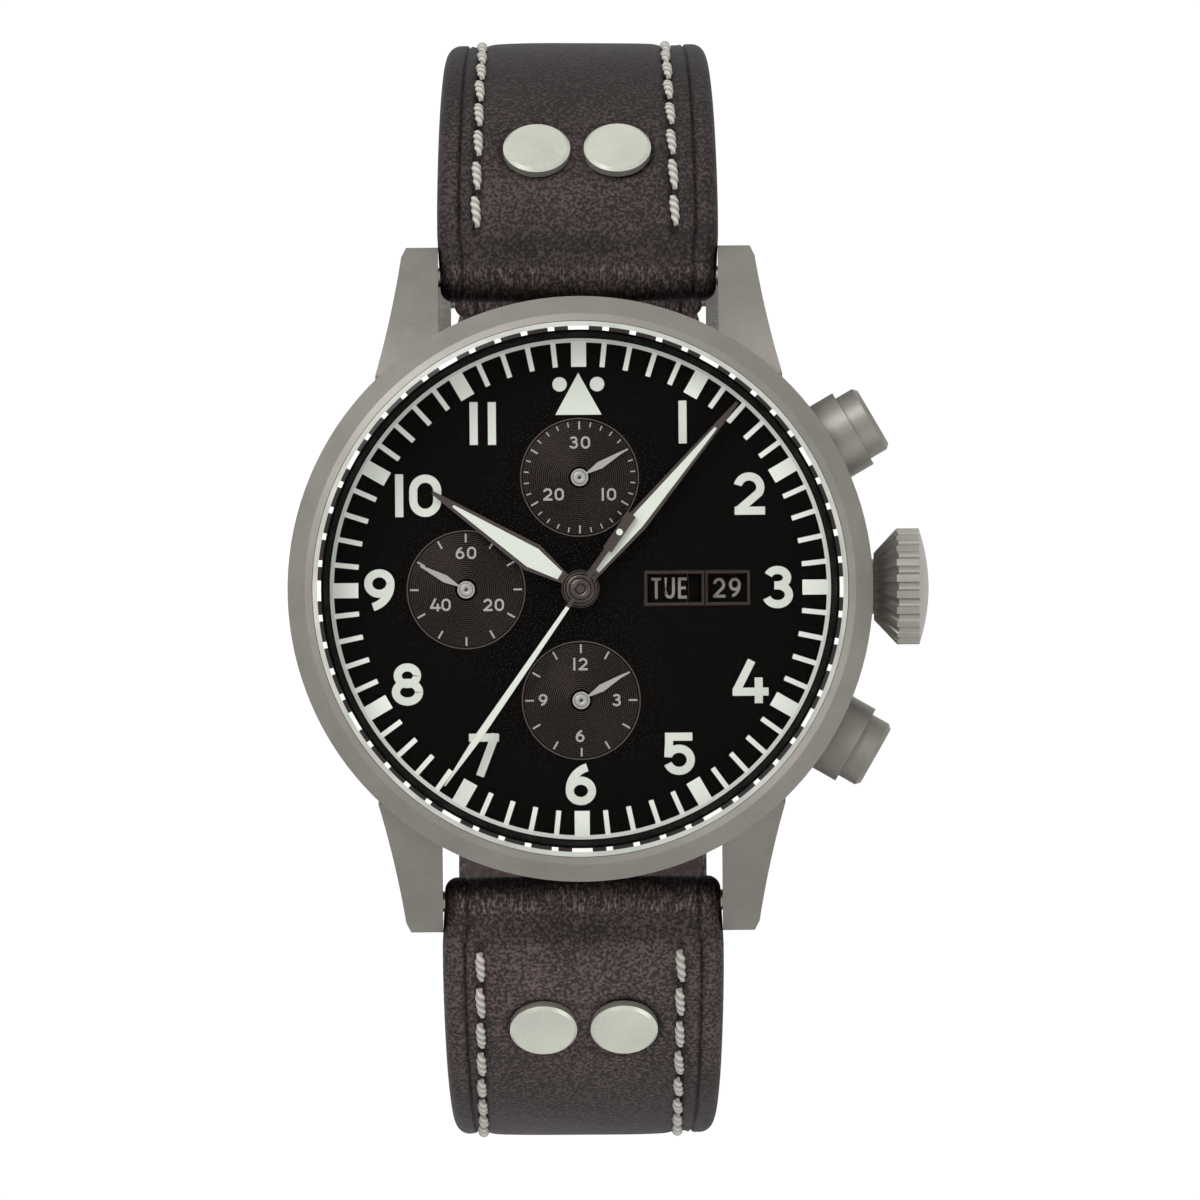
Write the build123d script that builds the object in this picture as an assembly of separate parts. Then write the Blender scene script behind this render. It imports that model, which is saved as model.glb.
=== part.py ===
from build123d import *
import math
import os

# Lengths are in millimetres. The origin lies on the hands' axis, on the outer face of the case back.
# +Z leaves the dial, +Y points to twelve o'clock and +X to the crown.

# Running fits and play
running_fit = 0.03
hinge_fit = 0.08
glass_fit = 0.04
seat_fit = 0.05

# Middle case
case_wall = 2.3
case_top_draft = 0.4
case_foot_draft = 0.7
case_h = 10.0
dial_ledge_w = 1.2
dial_play = 0.1

# Lugs
lug_gap = 20.1
lug_tip_w = 2.65
lug_tip_l = 2.2
lug_root_out = 0.32
lug_root_angle = 46.53
lug_waist_w = 3.4
lug_waist_l = 2.5
lug_root_l = 9.9
lug_top_drop = 0.6
lug_crown_l = 1.8
lug_crown_z = 7.6
lug_tip_top_z = 3.0
lug_tip_low_z = 0.5
lug_tip_round = 0.7

# Spring bars
bar_out = 1.5
bar_z = 2.35
bar_r = 0.75
bar_tip_r = 0.4
bar_tip_l = 0.9
strap_recess_r = 2.1

# Case back
back_proud = 0.9
back_t = 1.8
back_edge_w = 0.8
back_spigot_w = 1.9
back_spigot_h = 0.8
back_chamfer = 0.5
back_view_inset = 1.1
back_glass_rest = 0.8
back_glass_t = 1.0
back_lip = 0.3
gasket_w = 0.45
gasket_t = 0.35
back_screw_count = 6
back_screw_inset = 1.15
screw_head_r = 0.72
screw_head_t = 0.45
screw_shank_r = 0.38
screw_l = 2.6
screw_slot_w = 0.2
screw_slot_depth = 0.15

# Bezel, crystal and flange ring
bezel_overhang = 0.1
bezel_h = 2.5
bezel_side_h = 0.9
bezel_top_w = 0.5
bezel_mouth_w = 0.65
bezel_chamfer_h = 0.3
bezel_seat_w = 0.1
bezel_seat_h = 1.1
crystal_gasket_t = 0.3
crystal_side_h = 1.1
crystal_bevel_w = 0.62
crystal_bevel_h = 0.3
crystal_dome_h = 0.55
flange_low_w = 0.45
flange_top_w = 0.12

# Movement heights, from the back to the dial
rotor_gap = 0.25
rotor_plate_t = 0.35
rotor_rim_t = 2.0
rotor_bridge_gap = 0.3
rotor_bridge_t = 0.45
top_wheel_gap = 0.12
top_wheel_t = 0.2
train_bridge_t = 1.1
train_space = 1.7
main_plate_t = 1.8
calendar_gap = 0.15
calendar_t = 0.25
dial_gap = 0.5
dial_t = 0.4

# Movement plan
movement_edge_w = 0.7
movement_ring_w = 2.25
centre_hole_r = 1.15
motion_pocket_r = 5.5
motion_pocket_depth = 0.6
bridge_slot_w = 0.35
balance_window_r = 4.7
balance_cock_w = 3.6
rotor_bridge_w = 5.0
movement_screw_r = 0.55
movement_screw_t = 0.25
pillar_r = 0.95
pillar_angles = (28.0, 75.0, 112.0, 152.0, 283.0, -57.0)
rotor_bridge_angle = 45.0

# Rotor
rotor_bridge_play = 0.4
rotor_rim_w = 2.2
rotor_hub_r = 3.1
rotor_arm_w = 3.2
bearing_r = 2.2
bearing_bore_r = 1.0

# Train wheels: the going train, the motion work and the winding wheels
train_wheel_t = 0.22
pinion_l = 0.5
arbor_r = 0.14
arbor_foot = 0.3
centre_tube_r = 0.3
centre_tube_bore_r = 0.17
centre_teeth = 48
centre_pinion_leaves = 10
third_teeth = 45
fourth_teeth = 72
low_pinion_leaves = 6
escape_teeth = 20
barrel_teeth = 60
cannon_teeth = 10
minute_teeth = 30
minute_pinion_leaves = 8
hour_teeth = 32
ratchet_teeth = 40
crown_wheel_teeth = 24
chrono_teeth = 48
counter_teeth = 24
centre_wheel_r = 4.5
third_wheel_r = 3.825
fourth_wheel_r = 3.6
barrel_wheel_r = 5.4
minute_wheel_r = 2.16
ratchet_wheel_r = 2.4
chrono_wheel_r = 3.36
counter_wheel_r = 1.8
escape_r = 2.2
barrel_drum_r = 4.95
barrel_t = 1.1
barrel_teeth_t = 0.35
barrel_arbor_r = 0.9
spoke_w = 0.42
wheel_rim_w = 0.45
wheel_hub_r = 0.9
barrel_angle = -20.0
escape_angle = -80.0
minute_wheel_angle = 135.0
crown_wheel_angle = 35.0

# Balance and pallet fork
balance_r = 4.0
balance_rim_w = 0.45
balance_t = 0.4
balance_centre_l = 4.5
balance_angle = -63.0
roller_r = 0.55
roller_t = 0.3
pallet_share = 0.54
pallet_arm_w = 0.3
pallet_t = 0.22
pallet_span = 1.15
fork_l = 1.35
fork_slot_w = 0.3
hairspring_r = 1.9
hairspring_hub_r = 0.5
hairspring_w = 0.06
hairspring_h = 0.16
hairspring_turns = 6

# Dial
subdial_offset = 8.0
small_seconds_offset = 8.2
subdial_r = 4.25
subdial_depth = 0.1
centre_post_hole_r = 0.95
post_hole_r = 0.3
window_frame_low_x = 4.53
window_frame_high_x = 12.24
window_frame_h = 2.6
window_border = 0.27
window_split_low_x = 8.7
window_split_high_x = 9.17
window_frame_rise = 0.06

# Calendar discs
day_disc_r = 7.75
day_disc_bore_r = 1.3
date_ring_inset = 2.0
date_ring_bore_r = 8.5
date_teeth = 31
date_tooth_h = 0.35

# Hands
hand_t = 0.18
sub_hand_t = 0.12
hand_first_gap = 0.6
hand_step = 0.42
sub_hand_gap = 0.2
cannon_wall = 0.22
hour_pipe_wall = 0.25
hour_hand_l = 12.7
hour_hand_w = 2.1
hour_hand_wide_at = 4.1
hour_hub_r = 1.36
minute_hand_play = 0.55
minute_hand_w = 1.6
minute_hand_wide_at = 6.3
minute_hub_r = 1.2
hand_neck_w = 0.8
hand_tip_w = 0.24
chrono_hand_play = 0.85
chrono_hand_w = 0.55
chrono_hand_wide_at = 13.0
chrono_neck_w = 0.3
chrono_hub_r = 0.85
chrono_tail_l = 6.5
chrono_tail_rod_l = 3.4
chrono_tail_w = 0.72
hub_cap_r = 0.3
hub_cap_t = 0.2
sub_hand_l = 3.7
sub_hand_w = 0.55
sub_hand_wide_at = 1.7
sub_hand_tip_w = 0.12
sub_hub_r = 0.62

# Hand positions, in degrees clockwise from twelve
hour_angle = 303.5
minute_angle = 40.5
chrono_angle = 215.0
small_seconds_angle = 298.0
minute_counter_angle = 59.6
hour_counter_angle = 59.2

# Crown and stem
crown_z = 7.3
crown_gap = 0.15
crown_r = 4.17
crown_foot_r = 2.4
crown_cone_l = 1.65
crown_rim_l = 1.6
crown_dome_h = 0.7
crown_bore_depth = 2.2
crown_flutes = 22
crown_flute_r = 0.36
crown_flute_depth = 0.22
crown_tube_r = 1.98
crown_tube_inner_r = 1.3
crown_tube_bore_r = 0.85
crown_tube_l = 1.5
crown_gasket_w = 0.35
stem_r = 0.45
stem_inner_x = 8.8
stem_hold = 0.8
clutch_r = 1.05
clutch_l = 1.4
clutch_x = 9.2
clutch_grooves = 10
clutch_pocket_spare = 2.4
crown_pull = 1.2

# Pushers
pusher_angle = 30.0
pusher_tube_r = 2.95
pusher_tube_proud = 1.8
pusher_tube_depth = 1.7
pusher_cap_r = 2.5
pusher_proud = 0.8
pusher_cap_l = 2.7
pusher_cap_round = 0.3
pusher_stem_r = 0.6
pusher_stem_reach = 0.4
pusher_travel = 0.85

# Strap loop
strap_arc_r = 25.9
strap_start_angle = 25.0
strap_start_out = 1.946
strap_start_up = 1.923
strap_lug_w = 19.8
strap_tail_w = 18.0
strap_lug_t = 4.4
strap_t = 2.3
strap_roll_r = 1.75
buckle_arc_r = 21.0
buckle_end_angle = 168.0
tail_drop = 6.8
tail_flat_l = 36.5
tail_point_l = 8.0
hole_r = 0.95
hole_count = 7
hole_pitch = 6.4
hole_first = 22.0

# Rivets
rivet_x = 2.9
rivet_angle = 44.2
rivet_r = 2.42
rivet_t = 0.75
rivet_chamfer = 0.22
rivet_sink = 0.15
rivet_shank_r = 0.9
rivet_back_r = 1.7
rivet_back_t = 0.35

# Buckle and keepers
buckle_bar_r = 0.65
buckle_roll_r = 1.35
buckle_inner_w = 18.5
buckle_side_w = 1.9
buckle_l = 13.6
buckle_front_w = 2.2
buckle_t = 2.0
buckle_ear_l = 1.5
buckle_round = 2.2
tongue_w = 2.1
tongue_t = 0.85
tongue_eye_r = 1.2
tongue_play = 0.25
tongue_lift = 0.06
keeper_l = 4.6
keeper_t = 1.0
keeper_play = 0.3
keeper_snug = 0.18
fixed_keeper_angle = 157.0
free_keeper_angle = 138.0

# Shares of the sizes that they follow
tooth_shares = ((-0.30, -1.15), (0.0, 0.95), (0.30, -1.15))
escape_tooth_shares = ((0.0, 1.0), (0.12, 0.82), (0.86, 0.80))
strap_swell_share = 0.56
tail_curve_share = (0.74, 0.30)

# Heights worked out from the stack
case_low_z = back_proud
case_top_z = case_low_z + case_h
rotor_z = back_t + rotor_gap
rotor_bridge_z = rotor_z + rotor_plate_t + rotor_bridge_gap
top_wheel_z = rotor_bridge_z + rotor_bridge_t + top_wheel_gap
train_bridge_z = top_wheel_z + top_wheel_t + top_wheel_gap
train_z = train_bridge_z + train_bridge_t
main_plate_z = train_z + train_space
plate_top_z = main_plate_z + main_plate_t
calendar_z = plate_top_z + calendar_gap
dial_z = calendar_z + calendar_t + dial_gap
dial_top_z = dial_z + dial_t
hour_z = dial_top_z + hand_first_gap
minute_z = hour_z + hand_step
chrono_z = minute_z + hand_step
sub_hand_z = dial_top_z + sub_hand_gap
bezel_top_z = case_top_z + bezel_h
crystal_seat_z = case_top_z + bezel_seat_h
crystal_z = crystal_seat_z + crystal_gasket_t

# Tooth sizes worked out from the wheels' pitch radii
centre_module = centre_wheel_r * 2 / centre_teeth
third_module = third_wheel_r * 2 / third_teeth
fourth_module = fourth_wheel_r * 2 / fourth_teeth
barrel_module = barrel_wheel_r * 2 / barrel_teeth
motion_module = minute_wheel_r * 2 / minute_teeth
ratchet_module = ratchet_wheel_r * 2 / ratchet_teeth
chrono_module = chrono_wheel_r * 2 / chrono_teeth
counter_module = counter_wheel_r * 2 / counter_teeth

# Radii worked out from the barrel outwards, through the movement to the case
bridge_r = barrel_wheel_r * 2 + barrel_module * centre_pinion_leaves / 2
rotor_r = bridge_r + rotor_bridge_play + rotor_rim_w
movement_r = rotor_r + movement_edge_w
movement_ring_r = movement_r + movement_ring_w
case_bore_r = movement_ring_r + seat_fit
dial_r = case_bore_r + dial_ledge_w
dial_bore_r = dial_r + dial_play
case_r = dial_bore_r + case_wall
case_top_r = case_r - case_top_draft
case_foot_r = case_r - case_foot_draft
date_ring_r = movement_r - date_ring_inset
flange_low_r = dial_r - flange_low_w
minute_hand_l = flange_low_r - minute_hand_play
chrono_hand_l = flange_low_r - chrono_hand_play

# Case back, bezel and crystal, worked out from the case
back_r = case_foot_r - back_edge_w
back_view_r = rotor_r - back_view_inset
back_glass_r = back_view_r + back_glass_rest
back_screw_circle_r = case_bore_r + back_screw_inset
bezel_r = case_r + bezel_overhang
bezel_mouth_r = dial_bore_r + bezel_mouth_w
bezel_top_r = bezel_mouth_r + bezel_top_w
bezel_seat_r = dial_bore_r + bezel_seat_w
crystal_r = bezel_mouth_r - glass_fit

# Lugs, bars and controls, worked out from the case
bar_y = case_r + bar_out
lug_tip_y = bar_y + lug_tip_l
lug_waist_x = lug_gap / 2 + lug_waist_w
lug_waist_y = bar_y - lug_waist_l
lug_inner_y = case_r - lug_root_l
lug_crown_y = bar_y - lug_crown_l
lug_top_z = case_top_z - lug_top_drop
lug_root_x = (case_r + lug_root_out) * math.cos(math.radians(lug_root_angle))
lug_root_y = (case_r + lug_root_out) * math.sin(math.radians(lug_root_angle))
crown_x = case_r + crown_gap
clutch_pocket_l = clutch_l + crown_pull + clutch_pocket_spare
pusher_tube_x = case_r + pusher_tube_proud
pusher_tube_floor_x = case_r - pusher_tube_depth
pusher_cap_x = pusher_tube_x + pusher_travel + pusher_proud
pusher_stem_inner_x = case_bore_r - pusher_stem_reach

# Strap arcs, worked out from the spring bars
strap_arc_y = bar_y + strap_start_out - strap_arc_r * math.sin(math.radians(strap_start_angle))
strap_arc_z = bar_z + strap_start_up - strap_arc_r * math.cos(math.radians(strap_start_angle))
tail_arc_r = buckle_arc_r + tail_drop

# Radii worked out from the fits
cannon_r = centre_tube_r + cannon_wall
hour_pipe_bore_r = cannon_r + running_fit
hour_pipe_r = hour_pipe_bore_r + hour_pipe_wall


def polar(radius, degrees):
    """A point in plan at an angle from +X."""
    return radius * math.cos(math.radians(degrees)), radius * math.sin(math.radians(degrees))


def shifted(point, other):
    return point[0] + other[0], point[1] + other[1]


def meeting_point(a, reach_a, b, reach_b):
    """The point at one distance from a and another from b, to the left of the line from a to b."""
    dx, dy = b[0] - a[0], b[1] - a[1]
    span = math.hypot(dx, dy)
    along = (reach_a**2 - reach_b**2 + span**2) / (2 * span)
    aside = math.sqrt(max(reach_a**2 - along**2, 0))
    return a[0] + (along * dx - aside * dy) / span, a[1] + (along * dy + aside * dx) / span


def bearing_of(a, b):
    """The direction from a to b in degrees."""
    return math.degrees(math.atan2(b[1] - a[1], b[0] - a[0]))


def disc(radius, low, high, at=(0, 0)):
    return extrude(Pos(at[0], at[1], low) * Circle(radius), high - low)


def ring(radius, bore, low, high, at=(0, 0)):
    return extrude(Pos(at[0], at[1], low) * (Circle(radius) - Circle(bore)), high - low)


def block(low, high):
    """A box between two corners."""
    size = [b - a for a, b in zip(low, high)]
    middle = [(a + b) / 2 for a, b in zip(low, high)]
    return Pos(*middle) * Box(*size)


def rod(radius, start, end):
    """A round bar from one point to another."""
    along = Vector(*end) - Vector(*start)
    return extrude(Plane(origin=start, z_dir=along) * Circle(radius), along.length)


def turned(*points):
    """A solid of revolution about the hands' axis, from (radius, height) corners."""
    return revolve(Plane.XZ * make_face(Polyline(*points, close=True)), Axis.Z)


def turned_on_x(*points):
    """A solid of revolution about X, from (distance, radius) corners."""
    return revolve(make_face(Polyline(*points, close=True)), Axis.X)


def clock(shape, degrees):
    """A shape that points to twelve, turned clockwise as seen from the front."""
    return Rot(0, 0, -degrees) * shape


def toothed(teeth, module, low, high, at, toward, gap=False):
    """A disc with pointed teeth, with a tooth or a gap turned towards another wheel."""
    pitch_r, step = teeth * module / 2, 360 / teeth
    first = toward + (step / 2 if gap else 0)
    points = [
        polar(pitch_r + height_share * module, first + (i + angle_share) * step)
        for i in range(teeth)
        for angle_share, height_share in tooth_shares
    ]
    return extrude(Pos(at[0], at[1], low) * make_face(Polyline(*points, close=True)), high - low)


def spoke_windows(outer_r, hub_r, spokes, low, high, at):
    """The openings between a wheel's hub, spokes and rim."""
    openings = Circle(outer_r) - Circle(hub_r)
    for i in range(spokes):
        openings -= Rot(0, 0, i * 360 / spokes) * Pos(outer_r / 2, 0) * Rectangle(outer_r * 2, spoke_w)
    return extrude(Pos(at[0], at[1], low) * openings, high - low)


def spoked_wheel(teeth, module, spokes, low, at, toward, gap=False, thick=train_wheel_t):
    wheel = toothed(teeth, module, low, low + thick, at, toward, gap)
    rim_r = teeth * module / 2 - module - wheel_rim_w
    return wheel - spoke_windows(rim_r, wheel_hub_r, spokes, low, low + thick, at)


def save(name, shape):
    export_step(shape, f"parts/{name}.step")


# Middle case with its lugs
def lug():
    """The lug at one o'clock: its side view cut to its plan."""
    half_gap, tip_y = lug_gap / 2, lug_tip_y
    side = make_face(
        Line((lug_inner_y, case_low_z), (lug_inner_y, lug_top_z))
        + Line((lug_inner_y, lug_top_z), (lug_root_y, lug_top_z))
        + ThreePointArc((lug_root_y, lug_top_z), (lug_crown_y, lug_crown_z), (tip_y, lug_tip_top_z))
        + Line((tip_y, lug_tip_top_z), (tip_y, lug_tip_low_z + lug_tip_round))
        + Line((tip_y, lug_tip_low_z + lug_tip_round), (tip_y - lug_tip_round, lug_tip_low_z))
        + Line((tip_y - lug_tip_round, lug_tip_low_z), (lug_inner_y, case_low_z))
    )
    plan = make_face(
        Line((half_gap, lug_inner_y), (half_gap, tip_y))
        + Line((half_gap, tip_y), (half_gap + lug_tip_w - lug_tip_round / 2, tip_y))
        + Line((half_gap + lug_tip_w - lug_tip_round / 2, tip_y), (half_gap + lug_tip_w, tip_y - lug_tip_round))
        + ThreePointArc(
            (half_gap + lug_tip_w, tip_y - lug_tip_round), (lug_waist_x, lug_waist_y), (lug_root_x, lug_root_y)
        )
        + Line((lug_root_x, lug_root_y), (lug_root_x, lug_inner_y))
        + Line((lug_root_x, lug_inner_y), (half_gap, lug_inner_y))
    )
    form = extrude(Plane.YZ * side, case_r) & extrude(plan, case_top_z)
    return form - rod(bar_tip_r + seat_fit, (0, bar_y, bar_z), (half_gap + bar_tip_l + seat_fit, bar_y, bar_z))


def mid_case():
    ledge_z = dial_z
    outline = (
        Line((case_foot_r, case_low_z), (case_bore_r, case_low_z))
        + Line((case_bore_r, case_low_z), (case_bore_r, ledge_z))
        + Line((case_bore_r, ledge_z), (dial_bore_r, ledge_z))
        + Line((dial_bore_r, ledge_z), (dial_bore_r, case_top_z))
        + Line((dial_bore_r, case_top_z), (case_top_r, case_top_z))
        + ThreePointArc(
            (case_top_r, case_top_z), (case_r, case_low_z + case_h / 2), (case_foot_r, case_low_z)
        )
    )
    case = revolve(Plane.XZ * make_face(outline), Axis.Z)
    one = lug() - disc(case_bore_r + seat_fit, 0, case_top_z)
    for turned_over in (one, mirror(one, Plane.YZ), mirror(one, Plane.XZ), mirror(mirror(one, Plane.YZ), Plane.XZ)):
        case += turned_over
    case -= disc(dial_bore_r, ledge_z, case_top_z)
    case -= disc(back_r + seat_fit, 0, back_t)
    for side in (1, -1):
        case -= rod(strap_recess_r, (-lug_gap / 2, side * bar_y, bar_z), (lug_gap / 2, side * bar_y, bar_z))
    for x, y in back_screw_places():
        case -= disc(screw_shank_r, back_t, screw_l + seat_fit, (x, y))
    outside_x = case_r + seat_fit
    case -= Pos(0, 0, crown_z) * rod(crown_tube_r + running_fit, (pusher_tube_floor_x, 0, 0), (outside_x, 0, 0))
    case -= Pos(0, 0, crown_z) * rod(crown_tube_inner_r + running_fit, (movement_r, 0, 0), (outside_x, 0, 0))
    for side in (1, -1):
        seat = rod(pusher_tube_r, (pusher_tube_floor_x, 0, 0), (outside_x, 0, 0))
        seat += rod(pusher_stem_r + hinge_fit, (movement_r, 0, 0), (case_r, 0, 0))
        case -= Pos(0, 0, crown_z) * Rot(0, 0, side * pusher_angle) * seat
    return case


def back_screw_places():
    step = 360 / back_screw_count
    return [polar(back_screw_circle_r, i * step + step / 2) for i in range(back_screw_count)]


def case_back():
    spigot_r = case_bore_r - seat_fit
    back = turned(
        (back_view_r, 0),
        (back_r - back_chamfer, 0),
        (back_r, back_chamfer),
        (back_r, back_t),
        (spigot_r, back_t),
        (spigot_r, back_t + back_spigot_h),
        (spigot_r - back_spigot_w, back_t + back_spigot_h),
        (spigot_r - back_spigot_w, back_t),
        (back_glass_r + glass_fit, back_t),
        (back_glass_r + glass_fit, back_lip),
        (back_view_r, back_lip),
    )
    back -= ring(case_bore_r + gasket_w + seat_fit, case_bore_r, back_t - gasket_t, back_t)
    for place in back_screw_places():
        back -= disc(screw_head_r + seat_fit, 0, screw_head_t, place)
        back -= disc(screw_shank_r + seat_fit, 0, back_t, place)
    return back


def back_screws():
    screws = []
    for place in back_screw_places():
        screw = disc(screw_head_r, 0, screw_head_t, place) + disc(screw_shank_r, 0, screw_l, place)
        slot = block(
            (-screw_head_r, -screw_slot_w / 2, 0), (screw_head_r, screw_slot_w / 2, screw_slot_depth)
        )
        screws.append(screw - Pos(place[0], place[1], 0) * slot)
    return Compound(children=screws)


# Bezel, crystal and flange
def bezel():
    return turned(
        (dial_bore_r + seat_fit, case_top_z),
        (bezel_r, case_top_z),
        (bezel_r, case_top_z + bezel_side_h),
        (bezel_top_r, bezel_top_z - bezel_chamfer_h),
        (bezel_mouth_r, bezel_top_z),
        (bezel_mouth_r, crystal_seat_z),
        (bezel_seat_r, crystal_seat_z),
    )


def crystal():
    shoulder_z = crystal_z + crystal_side_h
    rim_r, rim_z = crystal_r - crystal_bevel_w, shoulder_z + crystal_bevel_h
    dome_r = (rim_r**2 + crystal_dome_h**2) / (2 * crystal_dome_h)
    half_angle = math.asin(rim_r / dome_r) / 2
    top_z = rim_z + crystal_dome_h
    middle = dome_r * math.sin(half_angle), top_z - dome_r * (1 - math.cos(half_angle))
    outline = (
        Line((0, crystal_z), (crystal_r, crystal_z))
        + Line((crystal_r, crystal_z), (crystal_r, shoulder_z))
        + Line((crystal_r, shoulder_z), (rim_r, rim_z))
        + ThreePointArc((rim_r, rim_z), middle, (0, top_z))
        + Line((0, top_z), (0, crystal_z))
    )
    return revolve(Plane.XZ * make_face(outline), Axis.Z)


def flange_ring():
    outer_r = dial_bore_r - seat_fit
    top_z = crystal_seat_z - seat_fit
    return turned(
        (flange_low_r, dial_top_z),
        (outer_r, dial_top_z),
        (outer_r, top_z),
        (outer_r - flange_top_w, top_z),
    )


# Dial and calendar
def dial():
    plate = disc(dial_r, dial_z, dial_top_z)
    half_h = window_frame_h / 2
    frame = block(
        (window_frame_low_x, -half_h, dial_top_z), (window_frame_high_x, half_h, dial_top_z + window_frame_rise)
    )
    plate += frame
    edge = half_h - window_border
    for low_x, high_x in (
        (window_frame_low_x + window_border, window_split_low_x),
        (window_split_high_x, window_frame_high_x - window_border),
    ):
        plate -= block((low_x, -edge, dial_z), (high_x, edge, dial_top_z + window_frame_rise))
    for at in subdial_places():
        plate -= disc(subdial_r, dial_top_z - subdial_depth, dial_top_z, at)
        plate -= disc(post_hole_r, dial_z, dial_top_z, at)
    return plate - disc(centre_post_hole_r, dial_z, dial_top_z)


def subdial_places():
    """Minute counter at twelve, small seconds at nine and hour counter at six."""
    return (0, subdial_offset), (-small_seconds_offset, 0), (0, -subdial_offset)


def date_ring():
    step = 360 / date_teeth
    points = []
    for i in range(date_teeth):
        points.append(polar(date_ring_bore_r, i * step))
        points.append(polar(date_ring_bore_r + date_tooth_h, i * step + step / 2))
    inner = make_face(Polyline(*points, close=True))
    return extrude(Pos(0, 0, calendar_z) * (Circle(date_ring_r) - inner), calendar_t)


# Hands, drawn towards twelve and then turned to their time
def blade(length, width, wide_at, neck_w, tip_w, hub_r):
    points = (
        (-neck_w / 2, 0),
        (-neck_w / 2, hub_r),
        (-width / 2, wide_at),
        (-tip_w / 2, length),
        (tip_w / 2, length),
        (width / 2, wide_at),
        (neck_w / 2, hub_r),
        (neck_w / 2, 0),
    )
    return make_face(Polyline(*points, close=True)) + Circle(hub_r)


def hour_hand():
    face = blade(hour_hand_l, hour_hand_w, hour_hand_wide_at, hand_neck_w, hand_tip_w, hour_hub_r)
    return clock(extrude(Pos(0, 0, hour_z) * (face - Circle(hour_pipe_r)), hand_t), hour_angle)


def minute_hand():
    face = blade(minute_hand_l, minute_hand_w, minute_hand_wide_at, hand_neck_w, hand_tip_w, minute_hub_r)
    return clock(extrude(Pos(0, 0, minute_z) * (face - Circle(cannon_r)), hand_t), minute_angle)


def chrono_seconds_hand():
    face = blade(
        chrono_hand_l, chrono_hand_w, chrono_hand_wide_at, chrono_neck_w, sub_hand_tip_w, chrono_hub_r
    )
    tail_l = chrono_tail_l - chrono_tail_rod_l
    face += Pos(0, -chrono_tail_rod_l / 2) * Rectangle(chrono_neck_w, chrono_tail_rod_l)
    face += Pos(0, -chrono_tail_rod_l - tail_l / 2) * Rectangle(chrono_tail_w, tail_l)
    hand = extrude(Pos(0, 0, chrono_z) * face, hand_t)
    hand += disc(hub_cap_r, chrono_z + hand_t, chrono_z + hand_t + hub_cap_t)
    return clock(hand, chrono_angle)


def sub_hand(at, degrees):
    face = blade(sub_hand_l, sub_hand_w, sub_hand_wide_at, sub_hand_tip_w, sub_hand_tip_w, sub_hub_r)
    hand = extrude(Pos(0, 0, sub_hand_z) * face, sub_hand_t)
    return Pos(at[0], at[1], 0) * clock(hand, degrees)


# Wheel centres in plan
centre_at = (0, 0)
fourth_at = subdial_places()[1]
third_at = meeting_point(
    fourth_at,
    (third_teeth + low_pinion_leaves) * third_module / 2,
    centre_at,
    (centre_teeth + low_pinion_leaves) * centre_module / 2,
)
escape_at = shifted(fourth_at, polar((fourth_teeth + low_pinion_leaves) * fourth_module / 2, escape_angle))
balance_at = shifted(escape_at, polar(balance_centre_l, balance_angle))
pallet_at = shifted(escape_at, polar(balance_centre_l * pallet_share, balance_angle))
barrel_at = polar((barrel_teeth + centre_pinion_leaves) * barrel_module / 2, barrel_angle)
minute_wheel_at = polar((cannon_teeth + minute_teeth) * motion_module / 2, minute_wheel_angle)
crown_wheel_at = shifted(
    barrel_at, polar((ratchet_teeth + crown_wheel_teeth) * ratchet_module / 2, crown_wheel_angle)
)

# Levels in the train space, from the bridge to the plate
level_low_z = train_z + top_wheel_gap
level_mid_z = level_low_z + pinion_l
level_high_z = level_mid_z + pinion_l
plate_pocket_z = plate_top_z - motion_pocket_depth


# Movement plates and bridges
def main_plate():
    plate = disc(movement_r, main_plate_z, plate_top_z)
    plate -= disc(motion_pocket_r, plate_pocket_z, plate_top_z)
    plate += disc(arbor_r, plate_pocket_z, plate_top_z, minute_wheel_at)
    plate -= disc(centre_hole_r, main_plate_z, plate_top_z)
    for at in subdial_places():
        plate -= disc(arbor_r + running_fit, main_plate_z, plate_top_z, at)
    plate -= Pos(0, 0, crown_z) * rod(stem_r + hinge_fit, (motion_pocket_r, 0, 0), (movement_r, 0, 0))
    reach = clutch_r + hinge_fit
    plate -= block(
        (clutch_x - hinge_fit, -reach, main_plate_z), (clutch_x + clutch_pocket_l, reach, plate_top_z)
    )
    return plate


def train_bridge():
    """The bridge over the train, parted from the barrel bridge and open round the balance."""
    bridge = disc(bridge_r, train_bridge_z, train_z)
    bridge -= disc(balance_window_r, train_bridge_z, train_z, balance_at)
    bridge -= disc(centre_tube_r + running_fit, train_bridge_z, train_z)
    groove_depth = train_bridge_t / 3
    groove = block(
        (-bridge_r, -bridge_slot_w / 2, train_bridge_z),
        (bridge_r, bridge_slot_w / 2, train_bridge_z + groove_depth),
    )
    bridge -= Rot(0, 0, barrel_angle + 90) * Pos(0, -wheel_hub_r, 0) * groove
    for at in (third_at, fourth_at, escape_at):
        bridge -= disc(arbor_r + running_fit, train_bridge_z, train_z, at)
    bridge -= disc(barrel_arbor_r + running_fit, train_bridge_z, train_z, barrel_at)
    bridge -= disc(arbor_r + running_fit, train_bridge_z, train_z, crown_wheel_at)
    pillars = [polar(bridge_r - movement_screw_r * 2, angle) for angle in pillar_angles]
    for at in pillars:
        bridge += disc(pillar_r, train_z, main_plate_z, at)
    return bridge


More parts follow.
